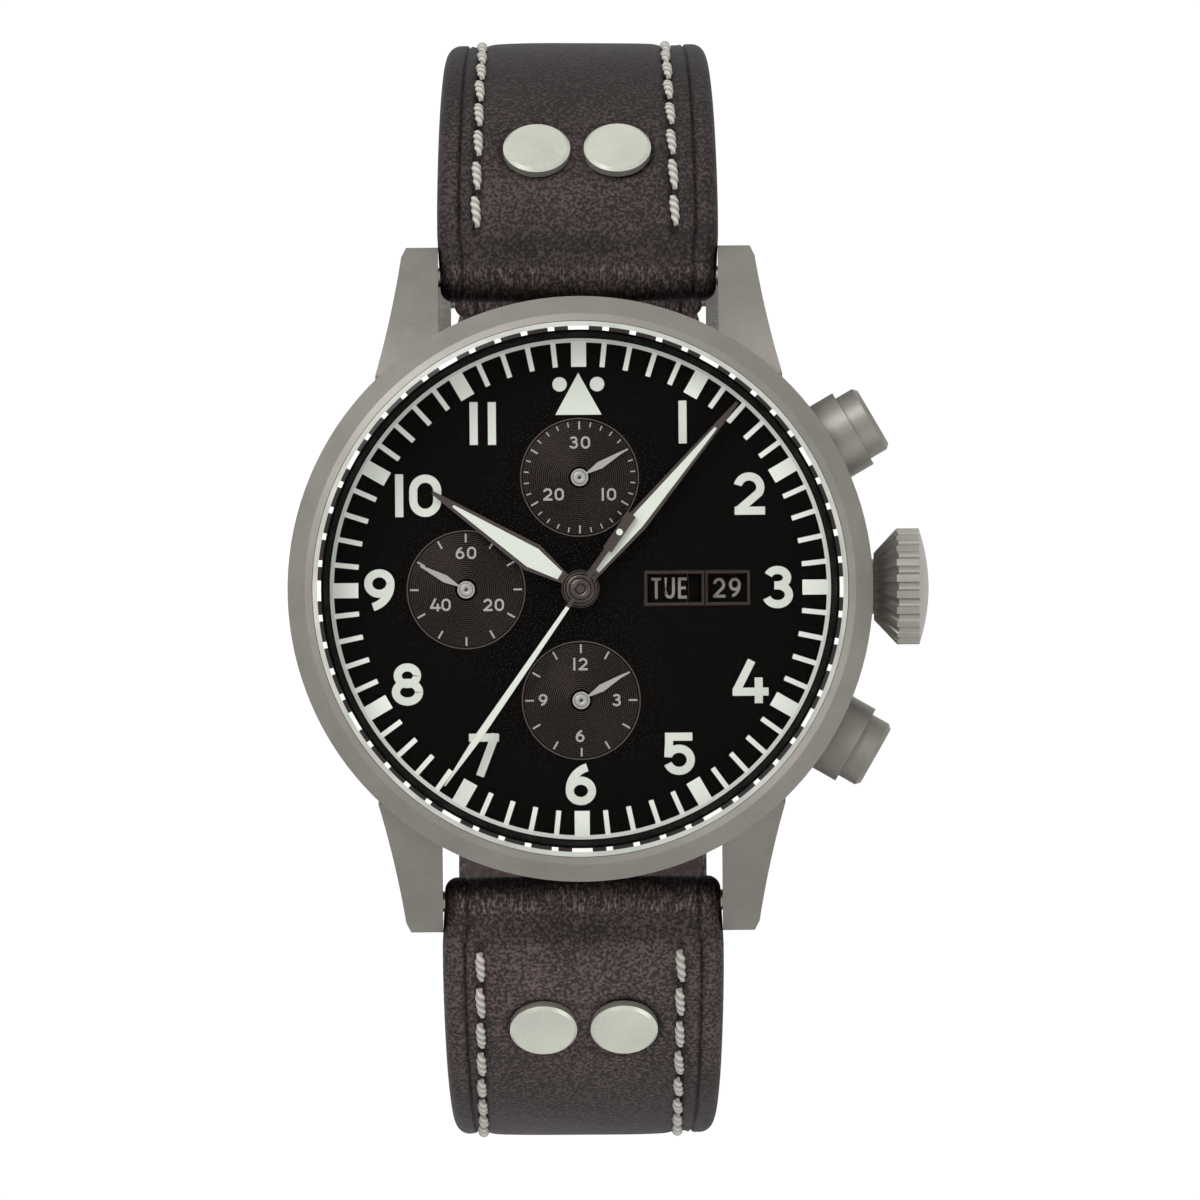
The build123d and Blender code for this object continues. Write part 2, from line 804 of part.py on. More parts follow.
def balance_cock():
    """The cock that carries the balance, from the plate's edge over its pivot."""
    direction = bearing_of(centre_at, balance_at)
    reach = math.hypot(*balance_at)
    arm = Pos((reach + movement_r) / 2, 0) * Rectangle(movement_r - reach, balance_cock_w)
    face = (arm + Pos(reach, 0) * Circle(balance_cock_w / 2)) & Circle(movement_r - rotor_gap)
    foot = face - Circle(reach + balance_r + balance_rim_w)
    shoulder = face - Pos(reach, 0) * Circle(hairspring_r + rotor_gap)
    cock = extrude(Pos(0, 0, train_bridge_z) * face, train_bridge_t / 2)
    cock += extrude(Pos(0, 0, train_bridge_z) * shoulder, train_bridge_t)
    cock += extrude(Pos(0, 0, train_bridge_z) * foot, main_plate_z - train_bridge_z)
    cock -= ring(movement_r, rotor_r - rotor_rim_w - rotor_gap, rotor_z, rotor_z + rotor_rim_t + rotor_gap)
    cock -= disc(arbor_r + running_fit, train_bridge_z, train_z, (reach, 0))
    return Rot(0, 0, direction) * cock


def rotor_bridge():
    """The narrow bridge across the movement that carries the rotor's bearing."""
    bar = Rectangle(rotor_bridge_w, bridge_r * 2) & Circle(bridge_r)
    bridge = extrude(Pos(0, 0, rotor_bridge_z) * bar, rotor_bridge_t)
    for side in (1, -1):
        bridge += disc(pillar_r, rotor_bridge_z, train_bridge_z, (0, side * (bridge_r - movement_screw_r * 2)))
    bridge += disc(bearing_bore_r, rotor_z, rotor_bridge_z)
    return Rot(0, 0, rotor_bridge_angle) * bridge


def movement_screws():
    """Polished screw heads on the bridges."""
    screws = []
    for angle in pillar_angles:
        at = polar(bridge_r - movement_screw_r * 2, angle)
        screw = disc(movement_screw_r, train_bridge_z - movement_screw_t, train_bridge_z, at)
        slot = block(
            (-movement_screw_r, -screw_slot_w / 2, 0), (movement_screw_r, screw_slot_w / 2, screw_slot_depth)
        )
        screws.append(screw - Pos(at[0], at[1], train_bridge_z - movement_screw_t) * Rot(0, 0, angle) * slot)
    return Compound(children=screws)


def movement_ring():
    low = train_z
    ring_body = ring(movement_ring_r, movement_r + running_fit, low, plate_top_z)
    bore = rod(pusher_stem_r + hinge_fit, (movement_r, 0, 0), (movement_ring_r, 0, 0))
    for angle in (0, pusher_angle, -pusher_angle):
        ring_body -= Pos(0, 0, crown_z) * Rot(0, 0, angle) * bore
    return ring_body


# Rotor
def rotor():
    half = Pos(0, -rotor_r) * Rectangle(rotor_r * 2, rotor_r * 2)
    rim = (Circle(rotor_r) - Circle(rotor_r - rotor_rim_w)) & half
    web = Circle(rotor_r - rotor_rim_w / 2) - Circle(rotor_r / 2)
    web = web & half
    arms = Circle(rotor_hub_r) + Pos(0, -rotor_r / 3) * Rectangle(rotor_arm_w, rotor_r * 2 / 3)
    plate = extrude(Pos(0, 0, rotor_z) * (web + arms - Circle(bearing_r)), rotor_plate_t)
    return plate + extrude(Pos(0, 0, rotor_z) * rim, rotor_rim_t)


def rotor_bearing():
    return ring(bearing_r, bearing_bore_r + running_fit, rotor_z, rotor_z + rotor_plate_t)


# Going train
def arbor(at, low, high):
    return disc(arbor_r, low, high, at)


def centre_wheel():
    to_third, to_barrel = bearing_of(centre_at, third_at), bearing_of(centre_at, barrel_at)
    wheel = spoked_wheel(centre_teeth, centre_module, 5, level_low_z, centre_at, to_third)
    wheel += toothed(
        centre_pinion_leaves, barrel_module, level_high_z, level_high_z + barrel_teeth_t, centre_at, to_barrel
    )
    wheel += disc(centre_tube_r, train_bridge_z, plate_top_z)
    return wheel - disc(centre_tube_bore_r, train_bridge_z, plate_top_z)


def third_wheel():
    to_centre, to_fourth = bearing_of(third_at, centre_at), bearing_of(third_at, fourth_at)
    wheel = spoked_wheel(third_teeth, third_module, 5, level_mid_z, third_at, to_fourth)
    wheel += toothed(
        low_pinion_leaves, centre_module, level_low_z - arbor_r / 2, level_mid_z, third_at, to_centre, True
    )
    return wheel + arbor(third_at, train_bridge_z, main_plate_z)


def fourth_wheel():
    """It turns once a minute, and its long pivot carries the small seconds hand."""
    to_third, to_escape = bearing_of(fourth_at, third_at), bearing_of(fourth_at, escape_at)
    wheel = spoked_wheel(fourth_teeth, fourth_module, 5, level_high_z, fourth_at, to_escape)
    wheel += toothed(
        low_pinion_leaves, third_module, level_mid_z - arbor_r / 2, level_high_z, fourth_at, to_third, True
    )
    return wheel + arbor(fourth_at, train_bridge_z, sub_hand_z)


def escape_wheel():
    low = level_mid_z
    step = 360 / escape_teeth
    points = [
        polar(escape_r * radius_share, (i + angle_share) * step)
        for i in range(escape_teeth)
        for angle_share, radius_share in escape_tooth_shares
    ]
    face = make_face(Polyline(*points, close=True))
    wheel = extrude(Pos(escape_at[0], escape_at[1], low) * face, train_wheel_t)
    rim_r = escape_r * escape_tooth_shares[2][1] - spoke_w / 2
    wheel -= spoke_windows(rim_r, spoke_w, 4, low, low + train_wheel_t, escape_at)
    wheel += toothed(
        low_pinion_leaves, fourth_module, low + train_wheel_t, main_plate_z - arbor_r, escape_at,
        bearing_of(escape_at, fourth_at), True,
    )
    return wheel + arbor(escape_at, train_bridge_z, main_plate_z)


def pallet_fork():
    """The anchor with its two pallets and the fork that the balance's roller works."""
    arm = Rectangle(pallet_arm_w, pallet_span * 2)
    tips = [
        Pos(-pallet_arm_w, side * pallet_span) * Rectangle(pallet_arm_w * 2, pallet_arm_w / 2) for side in (1, -1)
    ]
    lever = Pos(fork_l / 2, 0) * Rectangle(fork_l, pallet_arm_w)
    head = Pos(fork_l, 0) * Circle(fork_slot_w) - Pos(fork_l + fork_slot_w / 2, 0) * Rectangle(
        fork_slot_w, fork_slot_w
    )
    face = arm + lever + head
    for tip in tips:
        face += tip
    fork = extrude(Pos(0, 0, level_mid_z) * face, pallet_t)
    fork = Rot(0, 0, bearing_of(escape_at, balance_at)) * fork
    return Pos(pallet_at[0], pallet_at[1], 0) * fork + arbor(pallet_at, level_mid_z - arbor_foot, main_plate_z)


def balance_wheel():
    low = train_z + hinge_fit
    wheel = ring(balance_r, balance_r - balance_rim_w, low, low + balance_t, balance_at)
    spoke = Pos(balance_at[0], balance_at[1], low) * Rectangle((balance_r - balance_rim_w / 2) * 2, spoke_w * 2)
    wheel += extrude(spoke, balance_t / 2)
    roller_z = level_mid_z + pallet_t + hinge_fit
    wheel += disc(roller_r, roller_z, roller_z + roller_t, balance_at)
    return wheel + arbor(balance_at, train_bridge_z, main_plate_z)


def hairspring():
    """A flat spiral from the collet on the staff to the stud."""
    steps = hairspring_turns * 16
    growth = (hairspring_r - hairspring_hub_r) / steps
    outer, inner = [], []
    for i in range(steps + 1):
        radius, angle = hairspring_hub_r + growth * i, i * 360 / 16
        outer.append(polar(radius + hairspring_w / 2, angle))
        inner.append(polar(radius - hairspring_w / 2, angle))
    coil = make_face(Polyline(*outer, *reversed(inner), close=True))
    collet = Circle(hairspring_hub_r) - Circle(arbor_r)
    low = train_z - hairspring_h - hinge_fit
    return extrude(Pos(balance_at[0], balance_at[1], low) * (coil + collet), hairspring_h)


def barrel():
    low = level_high_z + barrel_teeth_t - barrel_t
    drum = disc(barrel_drum_r, low, low + barrel_t, barrel_at)
    drum += toothed(
        barrel_teeth, barrel_module, level_high_z, level_high_z + barrel_teeth_t, barrel_at,
        bearing_of(barrel_at, centre_at), True,
    )
    return drum - disc(barrel_arbor_r + running_fit, low, low + barrel_t, barrel_at)


def ratchet_wheel():
    """The wheel on the barrel's arbor that winds the spring."""
    wheel = toothed(
        ratchet_teeth, ratchet_module, top_wheel_z, top_wheel_z + top_wheel_t, barrel_at,
        bearing_of(barrel_at, crown_wheel_at),
    )
    wheel += disc(barrel_arbor_r, top_wheel_z, main_plate_z, barrel_at)
    slot = block((-barrel_arbor_r, -screw_slot_w, 0), (barrel_arbor_r, screw_slot_w, screw_slot_depth / 2))
    return wheel - Pos(barrel_at[0], barrel_at[1], top_wheel_z) * slot


def crown_wheel():
    wheel = toothed(
        crown_wheel_teeth, ratchet_module, top_wheel_z, top_wheel_z + top_wheel_t, crown_wheel_at,
        bearing_of(crown_wheel_at, barrel_at), True,
    )
    return wheel + disc(arbor_r, top_wheel_z, train_bridge_z + top_wheel_gap, crown_wheel_at)


# Motion work under the dial
def cannon_pinion():
    pinion = toothed(
        cannon_teeth, motion_module, plate_pocket_z + running_fit, plate_pocket_z + train_wheel_t,
        centre_at, minute_wheel_angle,
    )
    pinion += disc(cannon_r, plate_pocket_z + running_fit, minute_z + hand_t)
    return pinion - disc(centre_tube_r, plate_pocket_z, minute_z + hand_t)


def minute_wheel():
    low = plate_pocket_z + running_fit
    wheel = toothed(
        minute_teeth, motion_module, low, plate_pocket_z + train_wheel_t, minute_wheel_at,
        minute_wheel_angle + 180, True,
    )
    wheel += toothed(
        minute_pinion_leaves, motion_module, plate_pocket_z + train_wheel_t, plate_top_z, minute_wheel_at,
        minute_wheel_angle + 180,
    )
    return wheel - disc(arbor_r + running_fit, low, plate_top_z, minute_wheel_at)


def hour_wheel():
    low = plate_pocket_z + train_wheel_t + hinge_fit
    wheel = toothed(
        hour_teeth, motion_module, low, low + train_wheel_t, centre_at, minute_wheel_angle, True
    )
    wheel += disc(hour_pipe_r, low, hour_z + hand_t)
    return wheel - disc(hour_pipe_bore_r, low, hour_z + hand_t)


# Chronograph wheels
def chrono_wheel():
    """The runner: a fine toothed wheel at the back whose staff carries the centre seconds hand."""
    wheel = spoked_wheel(chrono_teeth, chrono_module, 4, top_wheel_z, centre_at, 0, thick=top_wheel_t)
    return wheel + disc(centre_tube_bore_r - running_fit, top_wheel_z, chrono_z)


def counter_wheel(at):
    low = level_high_z
    wheel = toothed(counter_teeth, counter_module, low, low + train_wheel_t, at, 0)
    return wheel + arbor(at, low, sub_hand_z)


# Crown, stem and pushers, drawn along X and set on their axes
def crown():
    rim_x = crown_x + crown_cone_l
    dome_x = rim_x + crown_rim_l
    outline = (
        Line((crown_x, 0), (crown_x, crown_foot_r))
        + Line((crown_x, crown_foot_r), (rim_x, crown_r))
        + Line((rim_x, crown_r), (dome_x, crown_r))
        + ThreePointArc(
            (dome_x, crown_r), (dome_x + crown_dome_h * 3 / 4, crown_r / 2), (dome_x + crown_dome_h, 0)
        )
        + Line((dome_x + crown_dome_h, 0), (crown_x, 0))
    )
    body = revolve(make_face(outline), Axis.X)
    body -= rod(crown_tube_r + seat_fit, (crown_x, 0, 0), (crown_x + crown_bore_depth, 0, 0))
    body -= rod(stem_r, (crown_x, 0, 0), (crown_x + crown_bore_depth + stem_hold, 0, 0))
    axis_r = crown_r + crown_flute_r - crown_flute_depth
    slope = math.degrees(math.atan2(crown_r - crown_foot_r, crown_cone_l))
    straight = rod(crown_flute_r, (rim_x - crown_flute_r, 0, axis_r), (dome_x + crown_dome_h, 0, axis_r))
    run = math.hypot(crown_r - crown_foot_r, crown_cone_l)
    fading = Pos(rim_x, 0, axis_r) * Rot(0, -slope, 0) * rod(crown_flute_r, (-run, 0, 0), (0, 0, 0))
    flute = straight + fading
    body -= [Rot(i * 360 / crown_flutes, 0, 0) * flute for i in range(crown_flutes)]
    return Pos(0, 0, crown_z) * body


def crown_tube():
    end_x = crown_x + crown_tube_l
    outer = rod(crown_tube_r, (pusher_tube_floor_x, 0, 0), (end_x, 0, 0))
    outer += rod(crown_tube_inner_r, (case_bore_r, 0, 0), (end_x, 0, 0))
    return Pos(0, 0, crown_z) * (outer - rod(crown_tube_bore_r, (case_bore_r, 0, 0), (end_x, 0, 0)))


def winding_stem():
    end_x = crown_x + crown_bore_depth + stem_hold
    return Pos(0, 0, crown_z) * rod(stem_r, (stem_inner_x, 0, 0), (end_x, 0, 0))


def sliding_pinion():
    body = rod(clutch_r, (clutch_x, 0, 0), (clutch_x + clutch_l, 0, 0))
    body -= rod(stem_r, (clutch_x, 0, 0), (clutch_x + clutch_l, 0, 0))
    notch = block(
        (clutch_x, -screw_slot_w, clutch_r - screw_slot_w), (clutch_x + clutch_l / 3, screw_slot_w, clutch_r * 2)
    )
    body -= [Rot(i * 360 / clutch_grooves, 0, 0) * notch for i in range(clutch_grooves)]
    return Pos(0, 0, crown_z) * body


def crown_gasket():
    outer_r = crown_tube_bore_r - running_fit
    start = case_r
    outer = rod(outer_r, (start, 0, 0), (start + crown_gasket_w, 0, 0))
    inner = rod(stem_r + running_fit, (start, 0, 0), (start + crown_gasket_w, 0, 0))
    return Pos(0, 0, crown_z) * (outer - inner)


def pusher_tube(angle):
    tube = rod(pusher_tube_r, (pusher_tube_floor_x, 0, 0), (pusher_tube_x, 0, 0))
    floor_t = pusher_tube_r - pusher_cap_r
    tube -= rod(pusher_cap_r + hinge_fit, (pusher_tube_floor_x + floor_t, 0, 0), (pusher_tube_x, 0, 0))
    tube -= rod(pusher_stem_r + hinge_fit, (pusher_tube_floor_x, 0, 0), (pusher_tube_x, 0, 0))
    return Pos(0, 0, crown_z) * Rot(0, 0, angle) * tube


def pusher(angle):
    start_x = pusher_cap_x - pusher_cap_l
    cap = turned_on_x(
        (start_x, 0),
        (start_x, pusher_cap_r),
        (pusher_cap_x - pusher_cap_round, pusher_cap_r),
        (pusher_cap_x, pusher_cap_r - pusher_cap_round),
        (pusher_cap_x, 0),
    )
    cap += rod(pusher_stem_r, (pusher_stem_inner_x, 0, 0), (start_x, 0, 0))
    return Pos(0, 0, crown_z) * Rot(0, 0, angle) * cap


# Strap
def arc_point(side, centre_y, radius, degrees):
    """A point (y, z) on one of the strap's arcs, with the angle taken from straight up."""
    angle = math.radians(degrees)
    return side * (centre_y + radius * math.sin(angle)), strap_arc_z + radius * math.cos(angle)


def strap_side_view(side, low_arc_r, end_angle, tail_l):
    """The closed side view of one half, from the lug round its two arcs to its end."""
    low_y = strap_arc_y + strap_arc_r - low_arc_r
    middle_angle = (strap_start_angle + 90) / 2
    middle_t = strap_t + (strap_lug_t - strap_t) * strap_swell_share
    half_angle = (90 + end_angle) / 2

    def high(radius_less, degrees):
        return arc_point(side, strap_arc_y, strap_arc_r - radius_less, degrees)

    def low(radius_less, degrees):
        return arc_point(side, low_y, low_arc_r - radius_less, degrees)

    outline = ThreePointArc(high(0, strap_start_angle), high(0, middle_angle), high(0, 90))
    outline += ThreePointArc(low(0, 90), low(0, half_angle), low(0, end_angle))
    outer_end, inner_end = low(0, end_angle), low(strap_t, end_angle)
    if tail_l:
        far_outer, far_inner = shifted(outer_end, (-side * tail_l, 0)), shifted(inner_end, (-side * tail_l, 0))
        outline += Line(outer_end, far_outer)
        outline += Line(far_outer, far_inner)
        outline += Line(far_inner, inner_end)
    else:
        outline += Line(outer_end, inner_end)
    outline += ThreePointArc(inner_end, low(strap_t, half_angle), low(strap_t, 90))
    outline += ThreePointArc(high(strap_t, 90), high(middle_t, middle_angle), high(strap_lug_t, strap_start_angle))
    outline += Line(high(strap_lug_t, strap_start_angle), high(0, strap_start_angle))
    return make_face(outline)


def strap_width_limit():
    """The strap narrows from the lugs down to where its upper arc ends."""
    top_z = bar_z + strap_roll_r * 2
    low_z = strap_arc_z - tail_arc_r - strap_t
    wide, narrow = strap_lug_w / 2, strap_tail_w / 2
    face = make_face(
        Polyline(
            (-wide, top_z), (wide, top_z), (wide, bar_z), (narrow, strap_arc_z), (narrow, low_z),
            (-narrow, low_z), (-narrow, strap_arc_z), (-wide, bar_z), close=True,
        )
    )
    return extrude(Plane.XZ * face, strap_arc_y + strap_arc_r, both=True)


def strap_body(side, low_arc_r, end_angle, tail_l):
    face = strap_side_view(side, low_arc_r, end_angle, tail_l)
    face += Pos(side * bar_y, bar_z) * Circle(strap_roll_r)
    face -= Pos(side * bar_y, bar_z) * Circle(bar_r + hinge_fit)
    half = extrude(Plane.YZ * face, strap_lug_w / 2, both=True) & strap_width_limit()
    for place in rivet_places(side):
        half -= place * disc(rivet_shank_r, -strap_lug_t - strap_t, strap_t)
        half -= place * disc(rivet_r + running_fit, -rivet_sink, rivet_t)
        back_z = rivet_back_t / 2 - rivet_depth()
        half -= place * disc(rivet_back_r + running_fit, -strap_lug_t - strap_t, back_z)
    return half


def rivet_places(side):
    """Frames on the strap's outer face whose Z leaves the leather."""
    y, z = arc_point(side, strap_arc_y, strap_arc_r, rivet_angle)
    return [Pos(sign * rivet_x, y, z) * Rot(-side * rivet_angle, 0, 0) for sign in (-1, 1)]


def rivet_depth():
    """How far below the strap's outer face the rivet's inner cap ends."""
    share = (rivet_angle - strap_start_angle) / (90 - strap_start_angle)
    return strap_lug_t + (strap_t - strap_lug_t) * share + rivet_back_t / 2


def rivets(side):
    head_z = rivet_t - rivet_sink
    depth = rivet_depth()
    pieces = []
    for place in rivet_places(side):
        rivet = turned(
            (0, head_z), (rivet_r - rivet_chamfer, head_z), (rivet_r, head_z - rivet_chamfer),
            (rivet_r, -rivet_sink), (rivet_shank_r - running_fit, -rivet_sink),
            (rivet_shank_r - running_fit, rivet_back_t / 2 - depth), (rivet_back_r, rivet_back_t / 2 - depth),
            (rivet_back_r, -rivet_back_t / 2 - depth), (0, -rivet_back_t / 2 - depth),
        )
        pieces.append(place * rivet)
    return Compound(children=pieces)


def buckle_bar_at():
    """Where the buckle's bar lies: half a leather's thickness in, past the end of the lower arc."""
    low_y = strap_arc_y + strap_arc_r - buckle_arc_r
    y, z = arc_point(1, low_y, buckle_arc_r - strap_t / 2, buckle_end_angle)
    return y - buckle_roll_r, z


def strap_buckle_half():
    half = strap_body(1, buckle_arc_r, buckle_end_angle, 0)
    y, z = buckle_bar_at()
    face = Pos(y, z) * Circle(buckle_roll_r) + Pos(y + buckle_roll_r / 2, z) * Rectangle(buckle_roll_r, strap_t)
    half += extrude(Plane.YZ * face, strap_tail_w / 2, both=True)
    half -= rod(buckle_bar_r + hinge_fit, (-strap_tail_w, y, z), (strap_tail_w, y, z))
    slot_half = tongue_w / 2 + tongue_play
    reach = tongue_eye_r + tongue_play
    return half - block((-slot_half, y - reach - strap_t, z - strap_t), (slot_half, y + reach, z + strap_t))


def strap_tail_half():
    half = strap_body(-1, tail_arc_r, 180, tail_flat_l) - tail_trim()
    for i in range(hole_count):
        half -= tail_frame(hole_first + i * hole_pitch) * disc(hole_r, -strap_t, strap_t)
    return half


def tail_trim():
    """All that lies round the rounded tip in plan."""
    tip_y, wide = tail_tip_y(), strap_tail_w / 2
    start_y = tip_y - tail_point_l
    bend_x, bend_y = wide * tail_curve_share[0], tip_y - tail_point_l * tail_curve_share[1]
    tip = make_face(
        Line((-wide, start_y), (wide, start_y))
        + ThreePointArc((wide, start_y), (bend_x, bend_y), (0, tip_y))
        + ThreePointArc((0, tip_y), (-bend_x, bend_y), (-wide, start_y))
    )
    around = Pos(0, tip_y) * Rectangle(strap_lug_w + strap_t, tail_point_l * 2) - tip
    low_z = strap_arc_z - tail_arc_r - strap_t
    return extrude(Pos(0, 0, low_z) * around, strap_t * 3)


def tail_frame(distance):
    """A frame on the outer face of the tail half, at a distance along it from the tip."""
    on_arc = max(distance - tail_flat_l, 0)
    turn = on_arc / tail_arc_r
    y = tail_tip_y() - min(distance, tail_flat_l) - tail_arc_r * math.sin(turn)
    z = strap_arc_z - tail_arc_r * math.cos(turn)
    return Pos(0, y, z) * Rot(-math.degrees(turn), 0, 0)


def tail_tip_y():
    return tail_flat_l - strap_arc_y - strap_arc_r + tail_arc_r


def keeper(degrees, play):
    """A leather loop round the buckle half, set square to its lower arc."""
    low_y = strap_arc_y + strap_arc_r - buckle_arc_r
    y, z = arc_point(1, low_y, buckle_arc_r - strap_t / 2, degrees)
    wide, high = strap_tail_w + play * 2, strap_t + play * 2
    loop = Rectangle(wide + keeper_t * 2, high + keeper_t * 2) - Rectangle(wide, high)
    turn = math.radians(degrees)
    along = Plane(origin=(0, y, z), x_dir=(1, 0, 0), z_dir=(0, math.cos(turn), -math.sin(turn)))
    return extrude(along * loop, keeper_l / 2, both=True)


# Buckle
def buckle_frame():
    y, z = buckle_bar_at()
    wide = buckle_inner_w + buckle_side_w * 2
    long = buckle_l + buckle_ear_l
    middle_y = y + buckle_ear_l - long / 2
    plate = Pos(0, middle_y) * RectangleRounded(wide, long, buckle_round)
    opening_l = long - buckle_front_w
    opening = Pos(0, y + buckle_ear_l - opening_l / 2) * Rectangle(buckle_inner_w, opening_l)
    frame = extrude(Pos(0, 0, z - buckle_t / 2) * (plate - opening), buckle_t)
    return frame - rod(buckle_bar_r + running_fit, (-wide, y, z), (wide, y, z))


def buckle_bar():
    y, z = buckle_bar_at()
    half = buckle_inner_w / 2 + buckle_side_w
    return rod(buckle_bar_r, (-half, y, z), (half, y, z))


def buckle_tongue():
    y, z = buckle_bar_at()
    high = z - buckle_t / 2 - tongue_lift
    low = high - tongue_t
    end_y = y - buckle_l
    face = make_face(Polyline((y, high), (end_y, high), (end_y, low + tongue_t / 3), (y, low), close=True))
    face += Pos(y, z) * Circle(tongue_eye_r) + Pos(y, (z + high) / 2) * Rectangle(tongue_eye_r, z - high)
    face -= Pos(y, z) * Circle(buckle_bar_r + hinge_fit)
    return extrude(Plane.YZ * face, tongue_w / 2, both=True)


def spring_bars():
    bars = []
    for side in (1, -1):
        bar = rod(bar_r, (-lug_gap / 2, side * bar_y, bar_z), (lug_gap / 2, side * bar_y, bar_z))
        tip = lug_gap / 2 + bar_tip_l
        bars.append(bar + rod(bar_tip_r, (-tip, side * bar_y, bar_z), (tip, side * bar_y, bar_z)))
    return Compound(children=bars)


os.makedirs("parts", exist_ok=True)

# Case
save("mid_case", mid_case())
save("bezel", bezel())
save("crystal", crystal())
save("crystal_gasket", ring(crystal_r, bezel_seat_r, crystal_seat_z, crystal_z))
save("flange_ring", flange_ring())
save("movement_ring", movement_ring())
save("case_back", case_back())
save("back_crystal", disc(back_glass_r, back_lip, back_lip + back_glass_t))
save("back_gasket", ring(case_bore_r + gasket_w, case_bore_r + running_fit, back_t - gasket_t, back_t))
save("case_back_screws", back_screws())
save("spring_bars", spring_bars())

# Controls
save("crown", crown())
save("crown_tube", crown_tube())
save("crown_gasket", crown_gasket())
save("winding_stem", winding_stem())
save("sliding_pinion", sliding_pinion())
save("pusher_tubes", Compound(children=[pusher_tube(pusher_angle), pusher_tube(-pusher_angle)]))
save("pusher_top", pusher(pusher_angle))
save("pusher_bottom", pusher(-pusher_angle))

# Dial side
save("dial", dial())
save("day_disc", ring(day_disc_r, day_disc_bore_r, calendar_z, calendar_z + calendar_t))
save("date_ring", date_ring())
save("hour_hand", hour_hand())
save("minute_hand", minute_hand())
save("chrono_seconds_hand", chrono_seconds_hand())
minute_counter_at, small_seconds_at, hour_counter_at = subdial_places()
save("minute_counter_hand", sub_hand(minute_counter_at, minute_counter_angle))
save("small_seconds_hand", sub_hand(small_seconds_at, small_seconds_angle))
save("hour_counter_hand", sub_hand(hour_counter_at, hour_counter_angle))
save("cannon_pinion", cannon_pinion())
save("minute_wheel", minute_wheel())
save("hour_wheel", hour_wheel())

# Movement
save("main_plate", main_plate())
save("train_bridge", train_bridge())
save("balance_cock", balance_cock())
save("rotor_bridge", rotor_bridge())
save("movement_screws", movement_screws())
save("barrel", barrel())
save("ratchet_wheel", ratchet_wheel())
save("crown_wheel", crown_wheel())
save("centre_wheel", centre_wheel())
save("third_wheel", third_wheel())
save("fourth_wheel", fourth_wheel())
save("escape_wheel", escape_wheel())
save("pallet_fork", pallet_fork())
save("balance_wheel", balance_wheel())
save("hairspring", hairspring())
save("chrono_wheel", chrono_wheel())
save("minute_counter_wheel", counter_wheel(minute_counter_at))
save("hour_counter_wheel", counter_wheel(hour_counter_at))
save("rotor", rotor())
save("rotor_bearing", rotor_bearing())

# Strap and buckle
save("strap_buckle_half", strap_buckle_half())
save("strap_tail_half", strap_tail_half())
save("rivets_buckle_half", rivets(1))
save("rivets_tail_half", rivets(-1))
save("fixed_keeper", keeper(fixed_keeper_angle, keeper_snug))
save("free_keeper", keeper(free_keeper_angle, keeper_play))
save("buckle_bar", buckle_bar())
save("buckle_frame", buckle_frame())
save("buckle_tongue", buckle_tongue())
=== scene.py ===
import math
import random
from math import cos, pi, radians, sin

import bmesh
import bpy
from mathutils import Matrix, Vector


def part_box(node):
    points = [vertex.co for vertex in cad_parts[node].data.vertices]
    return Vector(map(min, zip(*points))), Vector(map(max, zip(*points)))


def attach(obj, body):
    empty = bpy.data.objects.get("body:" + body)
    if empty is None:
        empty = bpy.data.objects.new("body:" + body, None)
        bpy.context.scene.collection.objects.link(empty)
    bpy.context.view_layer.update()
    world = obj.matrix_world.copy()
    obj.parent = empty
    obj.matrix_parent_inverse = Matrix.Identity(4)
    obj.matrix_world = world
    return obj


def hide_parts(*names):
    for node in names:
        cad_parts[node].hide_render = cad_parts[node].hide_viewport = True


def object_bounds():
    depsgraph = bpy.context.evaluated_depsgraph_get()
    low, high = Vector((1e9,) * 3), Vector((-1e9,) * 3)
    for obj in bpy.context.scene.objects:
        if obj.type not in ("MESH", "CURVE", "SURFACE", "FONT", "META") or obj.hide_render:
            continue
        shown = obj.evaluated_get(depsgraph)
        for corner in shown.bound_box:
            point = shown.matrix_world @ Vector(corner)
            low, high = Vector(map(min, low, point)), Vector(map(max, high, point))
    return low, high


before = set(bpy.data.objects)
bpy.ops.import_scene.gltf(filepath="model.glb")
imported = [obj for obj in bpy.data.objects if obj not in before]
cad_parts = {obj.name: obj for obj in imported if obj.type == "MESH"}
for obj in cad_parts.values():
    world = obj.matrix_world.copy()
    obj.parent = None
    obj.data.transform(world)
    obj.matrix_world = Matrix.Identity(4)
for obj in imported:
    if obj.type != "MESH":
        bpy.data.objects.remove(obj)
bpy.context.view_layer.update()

MM = 0.001
random.seed(29)

# Sizes in millimetres and degrees, in the frame's own axes, with the hands' axis at x = y = 0
# Dial and calendar
SUBDIALS = ((0.0, 8.0), (-8.2, 0.0), (0.0, -8.0))
SUBDIAL_DEPTH = 0.1
MINUTE_RING = (17.68, 17.98)
MARK_FROM, MARK_W = 15.98, 0.36
BLOCK_FROM, BLOCK_W = 15.93, 1.08
NUMERAL_H, NUMERAL_STROKE = 3.07, 0.58
DOT_R = 0.52
COUNTER_H, COUNTER_STROKE = 0.92, 0.15
COUNTER_MARKS_TO = 4.02
COUNTER_RIM = (4.17, 4.27)
GROOVES = (0.75, 4.14)
GROOVE_PITCH, GROOVE_DEPTH = 0.15, 0.013
WINDOW_RIM = 0.06
WINDOW_FRAME = (4.53, 12.24, 1.3)
WINDOWS = ((4.80, 8.70), (9.17, 11.97))
WINDOW_HALF, WINDOW_SPLIT = 1.03, 8.935
CALENDAR_H, CALENDAR_STROKE = 1.52, 0.2
dial_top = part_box("dial")[1][2] / MM - WINDOW_RIM
PRINT_Z, PRINT_T = dial_top + 0.004, 0.022
